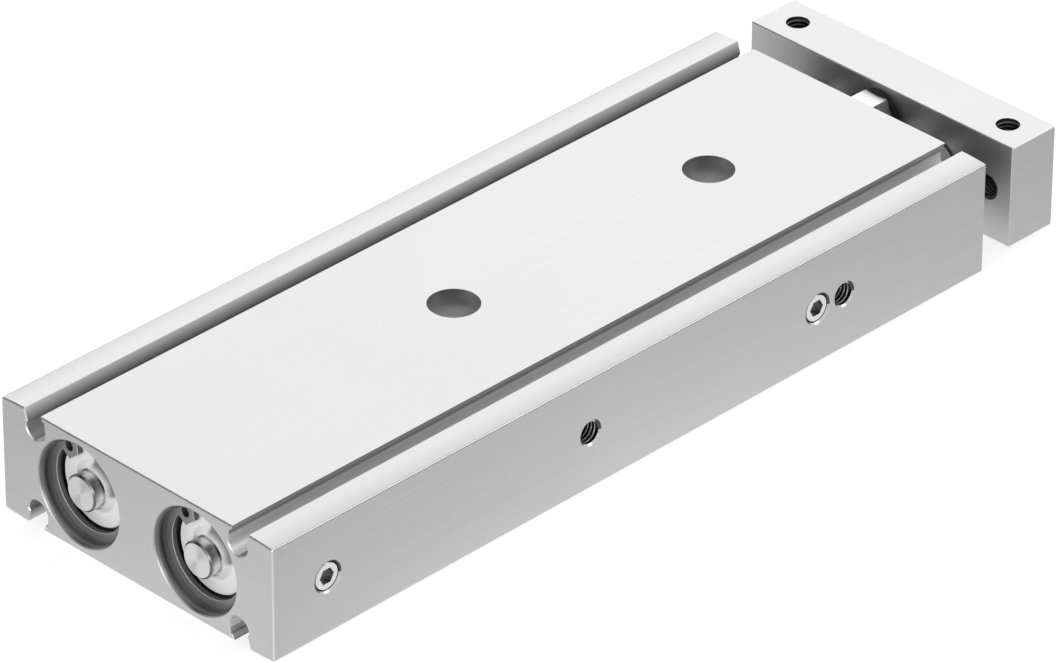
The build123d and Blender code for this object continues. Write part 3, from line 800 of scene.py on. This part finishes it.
        # Painted shade in the deep gap, on the boss and its chamfer, in the sickle at the flare's
        # foot and on the flat end face.
        tint = tint * (1 - self.gap_painted_shade * radius.above(self.bright_reach))
        tint = tint * (1 - self.boss_painted_shade * boss) * (1 - self.boss_edge_painted_shade * boss * sloped)
        tint = tint * (1 - self.sickle_painted_shade * self.sickle(to_right, to_top, radius))
        tint = tint * (1 - self.flat_painted_shade * end * (1 - boss))
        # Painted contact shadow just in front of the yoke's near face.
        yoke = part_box("yoke_plate")[0].x
        tint = tint * (1 - self.contact_shadow_loss * x.between(yoke - self.painted_contact_shadow, yoke))
        sheen = self.sheen_change * marks.swing() + self.patch_change * patches.swing()
        metal = self.metallic * (1 - sloped * (1 - boss))
        metal = metal + (1 - self.metallic) * wall.or_else(boss)
        return paint.close(
            {
                "Base Color": paint.shade(self.colour, tint),
                "Metallic": metal,
                "Roughness": (self.roughness + sheen).held(),
                "Normal": paint.bump(marks, self.depth),
            }
        )


@dataclass(frozen=True)
class MottledFinish:
    """Even finish with a fine grain: rubber, plastic, phosphated or plated steel, with painted
    shade where side_painted_shade is set.

    Attributes:
        slot: Material slot of the record.
        colour: Base colour.
        roughness: Mean roughness.
        metallic: Share of metal in the reflection.
        grain_size: Size of the grain.
        patch_grains: Size of the soft patches that lie over the grain, in grains.
        contrast: Change of brightness over the grain and the patches.
        grain_sheen: Change of roughness over the grain.
        patch_sheen: Change of roughness between patches.
        depth: Depth of the grain.
        side_painted_shade: Share of brightness lost to painted shade by faces that don't look the
            lit way.
        lit_way: Direction that the lit faces look.
        lit_share: Share of a normal that way from which a face is lit.
    """

    slot: str
    colour: tuple[float, float, float]
    roughness: float
    metallic: float = 0.0
    grain_size: float = 0.25 * MM
    patch_grains: float = 14.0
    contrast: float = 0.12
    grain_sheen: float = 0.14
    patch_sheen: float = 0.1
    depth: float = 0.006 * MM
    side_painted_shade: float = 0.0
    lit_way: tuple[float, float, float] = (0.0, 0.0, 1.0)
    lit_share: float = 0.8

    def shading(
        self, paint: Paint, point: Signal, facing: tuple[Signal, Signal, Signal]
    ) -> Signal:
        """Find the painted shade of faces that don't look the lit way beside those that do.

        Args:
            paint: The material's node tree; not used here.
            point: Point on the surface; not used here.
            facing: The three numbers of the normal.

        Returns:
            Factor around 1 on the brightness.
        """
        ahead, aside, up = self.lit_way
        lit_facing = facing[0] * ahead + facing[1] * aside + facing[2] * up
        # Painted shade on the faces that don't look the lit way.
        return 1 - self.side_painted_shade * lit_facing.below(self.lit_share)

    def material(self) -> bpy.types.Material:
        """Build the finish."""
        paint = Paint(self.slot)
        point = paint.place()
        grain = paint.noise(point, self.grain_size, detail=3.0, roughness=0.6)
        patches = paint.noise(point, self.patch_grains * self.grain_size)
        tint = 1 + self.contrast * (grain.swing() + patches.swing())
        tint = tint * self.shading(paint, point, paint.facing())
        sheen = self.grain_sheen * grain.swing() + self.patch_sheen * patches.swing()
        return paint.close(
            {
                "Base Color": paint.shade(self.colour, tint),
                "Metallic": self.metallic,
                "Roughness": (self.roughness + sheen).held(),
                "Normal": paint.bump(grain, self.depth),
            }
        )


@dataclass(frozen=True)
class RingSteel(MottledFinish):
    """Stamped spring steel: lit faces, painted shade on the cut walls and a painted highlight where
    the edge is rounded.

    Attributes:
        wall_painted_shade: Share of brightness that the cut walls lose to painted shade.
        edge_painted_highlight: Share of brightness that the rounded edge gains as a painted
            highlight.
        edge_width: Width of the painted highlight of the rounded edge on the wall.
    """

    wall_painted_shade: float = 0.6
    edge_painted_highlight: float = 1.6
    edge_width: float = 0.14 * MM

    def shading(
        self, paint: Paint, point: Signal, facing: tuple[Signal, Signal, Signal]
    ) -> Signal:
        """Find the painted shade over the cut walls and the painted highlight at their edges, from
        the rings' outer faces inwards.

        Args:
            paint: The material's node tree.
            point: Point on the surface.
            facing: The three numbers of the normal.

        Returns:
            Factor around 1 on the brightness.
        """
        x = paint.parts(point)[0]
        wall = abs(facing[0]).below(SIDELONG)
        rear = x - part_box("rear_retaining_ring_left")[0].x
        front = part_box("front_retaining_ring_left")[1].x - x
        from_face = abs(rear).least(abs(front))
        edge = from_face.below(self.edge_width)
        # Painted shade on the cut walls and a painted highlight along their edges.
        return 1 + wall * (edge * (self.edge_painted_highlight + self.wall_painted_shade) - self.wall_painted_shade)


FINISHES = (
    ExtrusionMetal("anodised_body", colour=(0.70, 0.70, 0.70)),
    PlateMetal(
        "anodised_yoke",
        colour=(0.70, 0.70, 0.70),
        grain=Grain.ACROSS,
        contrast=0.04,
        sheen_change=0.06,
        depth=0.002 * MM,
    ),
    # The cap's finish paints reflection sectors and stripes, and shade on the boss, the flat face,
    # the flare's foot and the deep gap.
    TurnedMetal(
        "turned_cap",
        colour=(0.97, 0.97, 0.97),
        roughness=0.3,
        metallic=0.25,
        painted_sector_reflection=0.28,
        painted_reflection_bands=0.5,
        boss_reach=3.2 * MM,
        boss_painted_shade=0.08,
        flat_painted_shade=0.06,
        sickle_painted_shade=0.75,
        bright_reach=6.83 * MM,
    ),
    TurnedMetal("guide_alloy", colour=(0.80, 0.80, 0.81), roughness=0.32, metallic=0.3),
    TurnedMetal("piston_alloy", colour=(0.74, 0.74, 0.75), roughness=0.3),
    # The rod's finish paints a contact shadow just in front of the yoke.
    TurnedMetal(
        "ground_rod",
        colour=(0.42, 0.42, 0.425),
        roughness=0.12,
        pitch=0.05 * MM,
        depth=0.001 * MM,
        painted_contact_shadow=0.35 * MM,
    ),
    TurnedMetal("bush_bronze", colour=(0.62, 0.44, 0.22), roughness=0.4),
    MottledFinish("seal_rubber", (0.03, 0.03, 0.03), 0.55),
    MottledFinish("bumper_rubber", (0.05, 0.05, 0.05), 0.6),
    RingSteel("spring_steel", (0.31, 0.31, 0.315), 0.42, metallic=0.8),
    MottledFinish("magnet", (0.06, 0.06, 0.065), 0.5, grain_size=0.12 * MM, contrast=0.4),
    MottledFinish("wear_plastic", (0.86, 0.84, 0.78), 0.45, contrast=0.05),
    MottledFinish("screw_steel", (0.45, 0.45, 0.46), 0.32, metallic=1.0, contrast=0.08),
    # The nut's finish paints shade on its faces that don't look up.
    MottledFinish(
        "nut_steel",
        (0.80, 0.80, 0.80),
        0.34,
        metallic=1.0,
        contrast=0.05,
        depth=0.003 * MM,
        side_painted_shade=0.7,
    ),
    # Near-black washer behind the nut: a dark washer, coloured darker still as painted shade of the
    # gap between the nut and the yoke.
    MottledFinish("dark_washer", (0.006, 0.006, 0.006), 0.7),
    # The plug's finish paints shade on its faces that don't look out of the body's side.
    MottledFinish(
        "plug_steel",
        (0.98, 0.98, 0.98),
        0.24,
        metallic=1.0,
        contrast=0.06,
        depth=0.004 * MM,
        side_painted_shade=0.6,
        lit_way=(0.0, -1.0, 0.0),
    ),
)


class Wardrobe:
    """Every finish of the cylinder, built once and handed out by its slot."""

    def __init__(self) -> None:
        """Build all finishes."""
        self.materials = {finish.slot: finish.material() for finish in FINISHES}
        self.slots = {part["node"]: part["material_slot"] for part in frame["record"]["subparts"]}

    def dress(self, node: str) -> None:
        """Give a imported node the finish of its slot.

        Args:
            node: Name of the node.
        """
        mesh = frame["nodes"][node].data
        mesh.materials.clear()
        mesh.materials.append(self.materials[self.slots[node]])
        LOG.info("%s: finish %s", node, self.slots[node])


@dataclass(frozen=True)
class Thread:
    """Sizes of a metric thread as it shows in a drilled wall.

    Attributes:
        pitch: Distance from crest to crest.
        rise: How far the crest stands off the wall.
        lead: Plain length at the mouth, where the hole is countersunk.
    """

    pitch: float
    rise: float
    lead: float = 0.35 * MM


M4 = Thread(0.7 * MM, 0.34 * MM)
M5 = Thread(0.8 * MM, 0.38 * MM, 0.42 * MM)
STOP_THREAD = Thread(0.8 * MM, 0.12 * MM, 0.95 * MM)


@dataclass(frozen=True)
class Mouth:
    """Mouth of a threaded hole: its place and the direction into the hole."""

    place: Vector
    inward: Vector


class ThreadRibs:
    """Geometry Nodes tree that winds one helical rib into each of several like holes."""

    INPUTS = (
        ("Geometry", "NodeSocketGeometry", None),
        ("Wall Radius", "NodeSocketFloat", 0.002),
        ("Rib Rise", "NodeSocketFloat", 0.0003),
        ("Pitch", "NodeSocketFloat", 0.0007),
        ("Length", "NodeSocketFloat", 0.005),
        ("Lead", "NodeSocketFloat", 0.0003),
        ("Finish", "NodeSocketMaterial", None),
    )
    STEPS_PER_TURN = 28
    RIDGE_CORNERS = 4

    def __init__(self) -> None:
        """Build the tree once for all threads."""
        self.tree = bpy.data.node_groups.new("thread_ribs", "GeometryNodeTree")
        for name, kind, value in self.INPUTS:
            socket = self.tree.interface.new_socket(name, in_out="INPUT", socket_type=kind)
            if value is not None:
                socket.default_value = value
        self.tree.interface.new_socket(
            "Geometry", in_out="OUTPUT", socket_type="NodeSocketGeometry"
        )
        self._wire()

    def _node(self, kind: str, **settings: Any) -> bpy.types.Node:
        """Add a node with its settings."""
        node = self.tree.nodes.new(kind)
        for name, value in settings.items():
            setattr(node, name, value)
        return node

    def _wire(self) -> None:
        """Wind a spiral, sweep a ridge along it and set it in every mouth."""
        link = self.tree.links.new
        given = self._node("NodeGroupInput").outputs
        turns = self._node("ShaderNodeMath", operation="DIVIDE")
        link(given["Length"], turns.inputs[0])
        link(given["Pitch"], turns.inputs[1])
        spiral = self._node("GeometryNodeCurveSpiral")
        spiral.inputs["Resolution"].default_value = self.STEPS_PER_TURN
        link(turns.outputs[0], spiral.inputs["Rotations"])
        link(given["Wall Radius"], spiral.inputs["Start Radius"])
        link(given["Wall Radius"], spiral.inputs["End Radius"])
        link(given["Length"], spiral.inputs["Height"])
        upright = self._node("GeometryNodeSetCurveNormal", mode="Z_UP")
        link(spiral.outputs[0], upright.inputs["Curve"])
        ridge = self._node("GeometryNodeCurvePrimitiveCircle")
        ridge.inputs["Resolution"].default_value = self.RIDGE_CORNERS
        link(given["Rib Rise"], ridge.inputs["Radius"])
        sweep = self._node("GeometryNodeCurveToMesh")
        sweep.inputs["Fill Caps"].default_value = True
        link(upright.outputs[0], sweep.inputs["Curve"])
        link(ridge.outputs[0], sweep.inputs["Profile Curve"])
        start = self._node("ShaderNodeCombineXYZ")
        link(given["Lead"], start.inputs["Z"])
        moved = self._node("GeometryNodeTransform")
        link(sweep.outputs[0], moved.inputs["Geometry"])
        link(start.outputs[0], moved.inputs["Translation"])
        inward = self._node("GeometryNodeInputNamedAttribute", data_type="FLOAT_VECTOR")
        inward.inputs["Name"].default_value = "inward"
        turn = self._node("FunctionNodeAlignRotationToVector", axis="Z")
        link(inward.outputs["Attribute"], turn.inputs["Vector"])
        spread = self._node("GeometryNodeInstanceOnPoints")
        link(given["Geometry"], spread.inputs["Points"])
        link(moved.outputs[0], spread.inputs["Instance"])
        link(turn.outputs[0], spread.inputs["Rotation"])
        real = self._node("GeometryNodeRealizeInstances")
        link(spread.outputs[0], real.inputs[0])
        painted = self._node("GeometryNodeSetMaterial")
        link(real.outputs[0], painted.inputs["Geometry"])
        link(given["Finish"], painted.inputs["Material"])
        link(painted.outputs[0], self._node("NodeGroupOutput").inputs[0])

    def wind(
        self,
        name: str,
        mouths: list[Mouth],
        thread: Thread,
        wall_radius: float,
        length: float,
        finish: bpy.types.Material,
        body: str,
    ) -> bpy.types.Object:
        """Make the ribs of several like holes as one mesh.

        Args:
            name: Name of the piece.
            mouths: The holes' mouths.
            thread: Sizes of the thread.
            wall_radius: Radius of the drilled wall.
            length: Length of the thread behind its lead.
            finish: Material of the ribs.
            body: Body that the ribs move with.

        Returns:
            The piece.
        """
        carrier = bpy.data.meshes.new(name + "_mouths")
        carrier.from_pydata([mouth.place for mouth in mouths], [], [])
        inward = carrier.attributes.new("inward", "FLOAT_VECTOR", "POINT")
        for item, mouth in zip(inward.data, mouths):
            item.vector = mouth.inward
        piece = bpy.data.objects.new(name, carrier)
        bpy.context.scene.collection.objects.link(piece)
        modifier = piece.modifiers.new("ribs", "NODES")
        modifier.node_group = self.tree
        values = {
            "Wall Radius": wall_radius,
            "Rib Rise": thread.rise,
            "Pitch": thread.pitch,
            "Length": length,
            "Lead": thread.lead,
            "Finish": finish,
        }
        for item in self.tree.interface.items_tree:
            if item.in_out == "INPUT" and item.name in values:
                modifier[item.identifier] = values[item.name]
        graph = bpy.context.evaluated_depsgraph_get()
        piece.data = bpy.data.meshes.new_from_object(piece.evaluated_get(graph))
        piece.modifiers.remove(modifier)
        piece.data.name = name
        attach(piece, body)
        LOG.info("%s: %d faces in %d holes", name, len(piece.data.polygons), len(mouths))
        return piece


@dataclass
class CylinderBody:
    """Extruded body with its side threads and open ports.

    Attributes:
        wardrobe: All finishes.
        ribs: Maker of thread ribs.
    """

    wardrobe: Wardrobe
    ribs: ThreadRibs

    def build(self) -> None:
        """Dress the body and wind the threads of its side holes."""
        self.wardrobe.dress("cylinder_body")
        finish = self.wardrobe.materials["anodised_body"]
        half_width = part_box("cylinder_body")[1].y
        side_names = [f"side_thread_{place}_{side}" for place in PLACES for side in SIDES]
        port_names = [f"air_port_{place}" for place in PLACES]
        for name, holes, thread in (
            ("side_thread_ribs", side_names, M4),
            ("port_thread_ribs", port_names, M5),
        ):
            mounts = [mount(hole) for hole in holes]
            mouths = []
            for entry in mounts:
                outward = Vector(entry["axis"])
                place = Vector(entry["pos_m"])
                place.y = outward.y * half_width
                mouths.append(Mouth(place, -outward))
            sizes = mounts[0]["dims"]
            radius = sizes["r_mm"] * MM
            length = sizes["length_mm"] * MM - 2 * thread.lead
            piece = self.ribs.wind(name, mouths, thread, radius, length, finish, HOUSING)


@dataclass
class RearClosures:
    """End caps, their seals and the retaining rings in the rear bore mouths.

    Attributes:
        wardrobe: All finishes.
        pieces: Names of the pieces on one side.
    """

    wardrobe: Wardrobe
    pieces: tuple[str, ...] = ("rear_cap", "rear_cap_seal", "rear_retaining_ring")

    def build(self) -> None:
        """Dress both closures."""
        for side in SIDES:
            for piece in self.pieces:
                self.wardrobe.dress(f"{piece}_{side}")


@dataclass
class PortPlugs:
    """Hexagon-socket plugs of the ports on the right side.

    Attributes:
        wardrobe: All finishes.
    """

    wardrobe: Wardrobe

    def build(self) -> None:
        """Dress both plugs."""
        for place in PLACES:
            self.wardrobe.dress(f"port_plug_{place}")


@dataclass
class RodGuides:
    """Front guides with their bushes, seals and retaining rings.

    Attributes:
        wardrobe: All finishes.
        pieces: Names of the pieces on one side.
    """

    wardrobe: Wardrobe
    pieces: tuple[str, ...] = (
        "rod_guide",
        "guide_bush",
        "guide_seal",
        "rod_seal",
        "front_retaining_ring",
    )

    def build(self) -> None:
        """Dress both guides."""
        for side in SIDES:
            for piece in self.pieces:
                self.wardrobe.dress(f"{piece}_{side}")


@dataclass
class PistonSets:
    """Pistons with their rings and bumpers, and the rods that they drive.

    Attributes:
        wardrobe: All finishes.
        pieces: Names of the pieces on one side.
    """

    wardrobe: Wardrobe
    pieces: tuple[str, ...] = (
        "piston",
        "piston_seal",
        "piston_magnet",
        "wear_ring",
        "rear_bumper",
        "front_bumper",
        "piston_screw",
        "piston_rod",
    )

    def build(self) -> None:
        """Dress both piston sets."""
        for side in SIDES:
            for piece in self.pieces:
                self.wardrobe.dress(f"{piece}_{side}")


@dataclass
class YokeEnd:
    """Yoke plate with its screws and the threads of its mounting holes.

    Attributes:
        wardrobe: All finishes.
        ribs: Maker of thread ribs.
    """

    wardrobe: Wardrobe
    ribs: ThreadRibs

    def mouths(self) -> tuple[list[Mouth], list[Mouth]]:
        """Mouths of the upright and of the lengthwise holes, from both sides of the plate."""
        low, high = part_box("yoke_plate")
        middle = (low + high) / 2
        top_spread = mount("yoke_top_threads")["dims"]["spacing_y_mm"] * MM / 2
        face_spread = mount("yoke_face_threads")["dims"]["spacing_x_mm"] * MM / 2
        upright = []
        lengthwise = []
        for side in (1, -1):
            for end, inward in ((high, -1), (low, 1)):
                place = Vector((middle.x, side * top_spread, end.z))
                upright.append(Mouth(place, Vector((0, 0, inward))))
                place = Vector((end.x, side * face_spread, middle.z))
                lengthwise.append(Mouth(place, Vector((inward, 0, 0))))
        return upright, lengthwise

    def build(self) -> None:
        """Dress the plate and its screws and wind its threads up to where the holes cross."""
        self.wardrobe.dress("yoke_plate")
        for side in SIDES:
            self.wardrobe.dress(f"yoke_screw_{side}")
        low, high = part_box("yoke_plate")
        radius = mount("yoke_top_threads")["dims"]["hole_r_mm"] * MM
        finish = self.wardrobe.materials["anodised_yoke"]
        upright, lengthwise = self.mouths()
        for name, mouths, extent in (
            ("yoke_top_thread_ribs", upright, high.z - low.z),
            ("yoke_face_thread_ribs", lengthwise, high.x - low.x),
        ):
            length = extent / 2 - radius - M4.lead - M4.rise
            piece = self.ribs.wind(name, mouths, M4, radius, length, finish, CARRIAGE)


@dataclass
class StopUnit:
    """Stop screw in the yoke with its lock nut and dark washer.

    Attributes:
        wardrobe: All finishes.
        ribs: Maker of thread ribs.
    """

    wardrobe: Wardrobe
    ribs: ThreadRibs

    def build(self) -> None:
        """Dress the pieces and wind the thread between the nut and the screw's tip."""
        for node in ("stop_screw", "stop_nut", "stop_washer"):
            self.wardrobe.dress(node)
        screw_low, screw_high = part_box("stop_screw")
        radius = (screw_high.z - screw_low.z) / 2
        tip = Mouth(Vector((screw_low.x, 0, (screw_low.z + screw_high.z) / 2)), Vector((1, 0, 0)))
        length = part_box("stop_nut")[0].x - screw_low.x - STOP_THREAD.lead
        finish = self.wardrobe.materials["screw_steel"]
        piece = self.ribs.wind(
            "stop_thread_ribs", [tip], STOP_THREAD, radius, length, finish, CARRIAGE
        )


@dataclass(frozen=True)
class Lamp:
    """Soft lamp that faces the object's middle.

    Attributes:
        name: Name of the lamp.
        place: Where it hangs.
        width: Width of its window.
        height: Height of its window.
        power: Power in watts.
    """

    name: str
    place: tuple[float, float, float]
    width: float
    height: float
    power: float


@dataclass
class Studio:
    """Camera, pale floor, white surroundings and soft lamps, with a painted patch of light on the
    floor in reflections.

    Attributes:
        camera_place: Place of the camera.
        camera_turn: Turn of the camera about X, Y and Z in degrees.
        lens: Focal length in millimetres.
        sensor: Width of the sensor in millimetres.
        clip: Nearest and farthest distance that the camera sees.
        floor_reach: Half the length of the floor's sides.
        floor_drop: Gap between the base and the floor.
        floor_colour: Colour of the floor.
        sky: Strength of the surroundings on the object.
        shadow_share: Share of the floor's own look, with the object's shadow, that the camera sees.
        white_glow: Brightness of the rest, which makes the lit floor just white.
        glow: Brightness of the floor in reflections.
        painted_light_pool: Further brightness of the floor in reflections around the object's near
            corner, a painted patch of light.
        pool_ahead: Distance along the stroke at which that has faded to half.
        pool_aside: Distance across the stroke at which that has faded to half.
        pool_centre: Middle of that painted patch of light, from the object's near corner.
        flags: Way to each dark flag, its reach in degrees and the share of light that it takes.
        white: Colour of the surroundings.
        lamps: The lamps.
    """

    camera_place: tuple[float, float, float] = (-0.757575, -0.737104, 0.667113)
    camera_turn: tuple[float, float, float] = (57.842532, -0.202969, -45.205765)
    lens: float = 276.8005
    sensor: float = 36.0
    clip: tuple[float, float] = (0.05, 20.0)
    floor_reach: float = 3.0
    floor_drop: float = 0.05 * MM
    floor_colour: tuple[float, float, float, float] = (0.62, 0.62, 0.62, 1.0)
    sky: float = 0.75
    shadow_share: float = 0.6
    white_glow: float = 1.9
    glow: float = 0.45
    painted_light_pool: float = 0.46
    pool_ahead: float = 100 * MM
    pool_aside: float = 50 * MM
    pool_centre: tuple[float, float] = (70 * MM, 19 * MM)
    flags: tuple[tuple[tuple[float, float, float], float, float], ...] = (
        ((-0.9, 1.0, 1.0), 21.0, 1.0),
        ((0.95, -1.2, 0.38), 12.0, 1.0),
    )
    white: tuple[float, float, float, float] = (1.0, 1.0, 1.0, 1.0)
    lamps: tuple[Lamp, ...] = (
        Lamp("far_softbox", (1.4, 1.2, 1.1), 1.6, 1.2, 4.5),
        Lamp("right_softbox", (1.3, -1.1, 1.3), 0.9, 0.9, 3.6),
        Lamp("rear_strip", (-1.38, -0.15, 0.22), 1.6, 0.36, 8.2),
    )

    def camera(self) -> None:
        """Put the camera where the photograph was taken from."""
        lens = bpy.data.cameras.new("view")
        lens.lens = self.lens
        lens.sensor_width = self.sensor
        lens.clip_start, lens.clip_end = self.clip
        eye = bpy.data.objects.new("view", lens)
        eye.location = self.camera_place
        eye.rotation_euler = Euler([math.radians(angle) for angle in self.camera_turn], "XYZ")
        bpy.context.scene.collection.objects.link(eye)
        bpy.context.scene.camera = eye

    def floor(self) -> None:
        """Lay the floor under the base; the camera sees it white, with a faint shadow, and
        reflections see a painted patch of light near the object.
        """
        mesh = bpy.data.meshes.new("floor")
        reach = self.floor_reach
        ground = CAD_BOX[0].z - self.floor_drop
        corners = [(-reach, -reach), (reach, -reach), (reach, reach), (-reach, reach)]
        mesh.from_pydata([(x, y, ground) for x, y in corners], [], [(0, 1, 2, 3)])
        piece = bpy.data.objects.new("floor", mesh)
        bpy.context.scene.collection.objects.link(piece)
        paint = Paint("floor")
        camera_ray = paint.seen()
        gloss_ray = paint.signal("LightPath", {}, {}, "Is Glossy Ray")
        x, y, _ = paint.parts(paint.place())
        # Painted patch of light around the object's near corner, which only reflections see.
        ahead = (x - (CAD_BOX[0].x + self.pool_centre[0])) / self.pool_ahead
        aside = (y - (CAD_BOX[0].y + self.pool_centre[1])) / self.pool_aside
        near = 1 / (1 + ahead * ahead + aside * aside)
        level = camera_ray * self.white_glow + (1 - camera_ray) * (self.glow + self.painted_light_pool * near)
        share = (camera_ray * (1 - self.shadow_share)).or_else(gloss_ray)
        matt = paint.signal("BsdfDiffuse", {}, {"Color": self.floor_colour})
        white = paint.signal("Emission", {}, {"Color": self.white, "Strength": level})
        mixed = paint.signal("MixShader", {}, {0: share, 1: matt, 2: white})
        paint.node("OutputMaterial", {}, {"Surface": mixed})
        mesh.materials.append(paint.material)

    def surroundings(self) -> None:
        """White to the camera, a little less bright on the object, with dark flags beside it."""
        world = bpy.data.worlds.new("surroundings")
        sheet = NodeSheet(world)
        seen = sheet.seen()
        way = sheet.signal("TexCoord", {}, {}, "Generated")
        light = self.sky
        for towards, reach, loss in self.flags:
            values = {0: way, 1: Vector(towards).normalized()}
            along = sheet.signal("VectorMath", {"operation": "DOT_PRODUCT"}, values, "Value")
            light = light * (1 - loss * along.above(math.cos(math.radians(reach))))
        level = seen + (1 - seen) * light
        glow = sheet.signal("Background", {}, {"Color": self.white, "Strength": level})
        sheet.node("OutputWorld", {}, {"Surface": glow})
        bpy.context.scene.world = world

    def hang(self, lamp: Lamp) -> None:
        """Hang one lamp.

        Args:
            lamp: Its place, window and power.
        """
        light = bpy.data.lights.new(lamp.name, "AREA")
        light.shape = "RECTANGLE"
        light.size = lamp.width
        light.size_y = lamp.height
        light.energy = lamp.power
        holder = bpy.data.objects.new(lamp.name, light)
        holder.location = lamp.place
        holder.rotation_euler = Vector(lamp.place).to_track_quat("Z", "Y").to_euler()
        bpy.context.scene.collection.objects.link(holder)

    def build(self) -> None:
        """Set up everything that isn't the object."""
        self.camera()
        self.floor()
        self.surroundings()
        for lamp in self.lamps:
            self.hang(lamp)
        bpy.context.scene.view_settings.view_transform = "Standard"


def main() -> None:
    """Build the pieces in order and report each one."""
    logging.basicConfig(level=logging.INFO, format="%(name)s %(message)s")
    wardrobe = Wardrobe()
    ribs = ThreadRibs()
    Studio().build()
    CylinderBody(wardrobe, ribs).build()
    RearClosures(wardrobe).build()
    PortPlugs(wardrobe).build()
    RodGuides(wardrobe).build()
    PistonSets(wardrobe).build()
    YokeEnd(wardrobe, ribs).build()
    StopUnit(wardrobe, ribs).build()


if __name__ == "__main__":
    main()
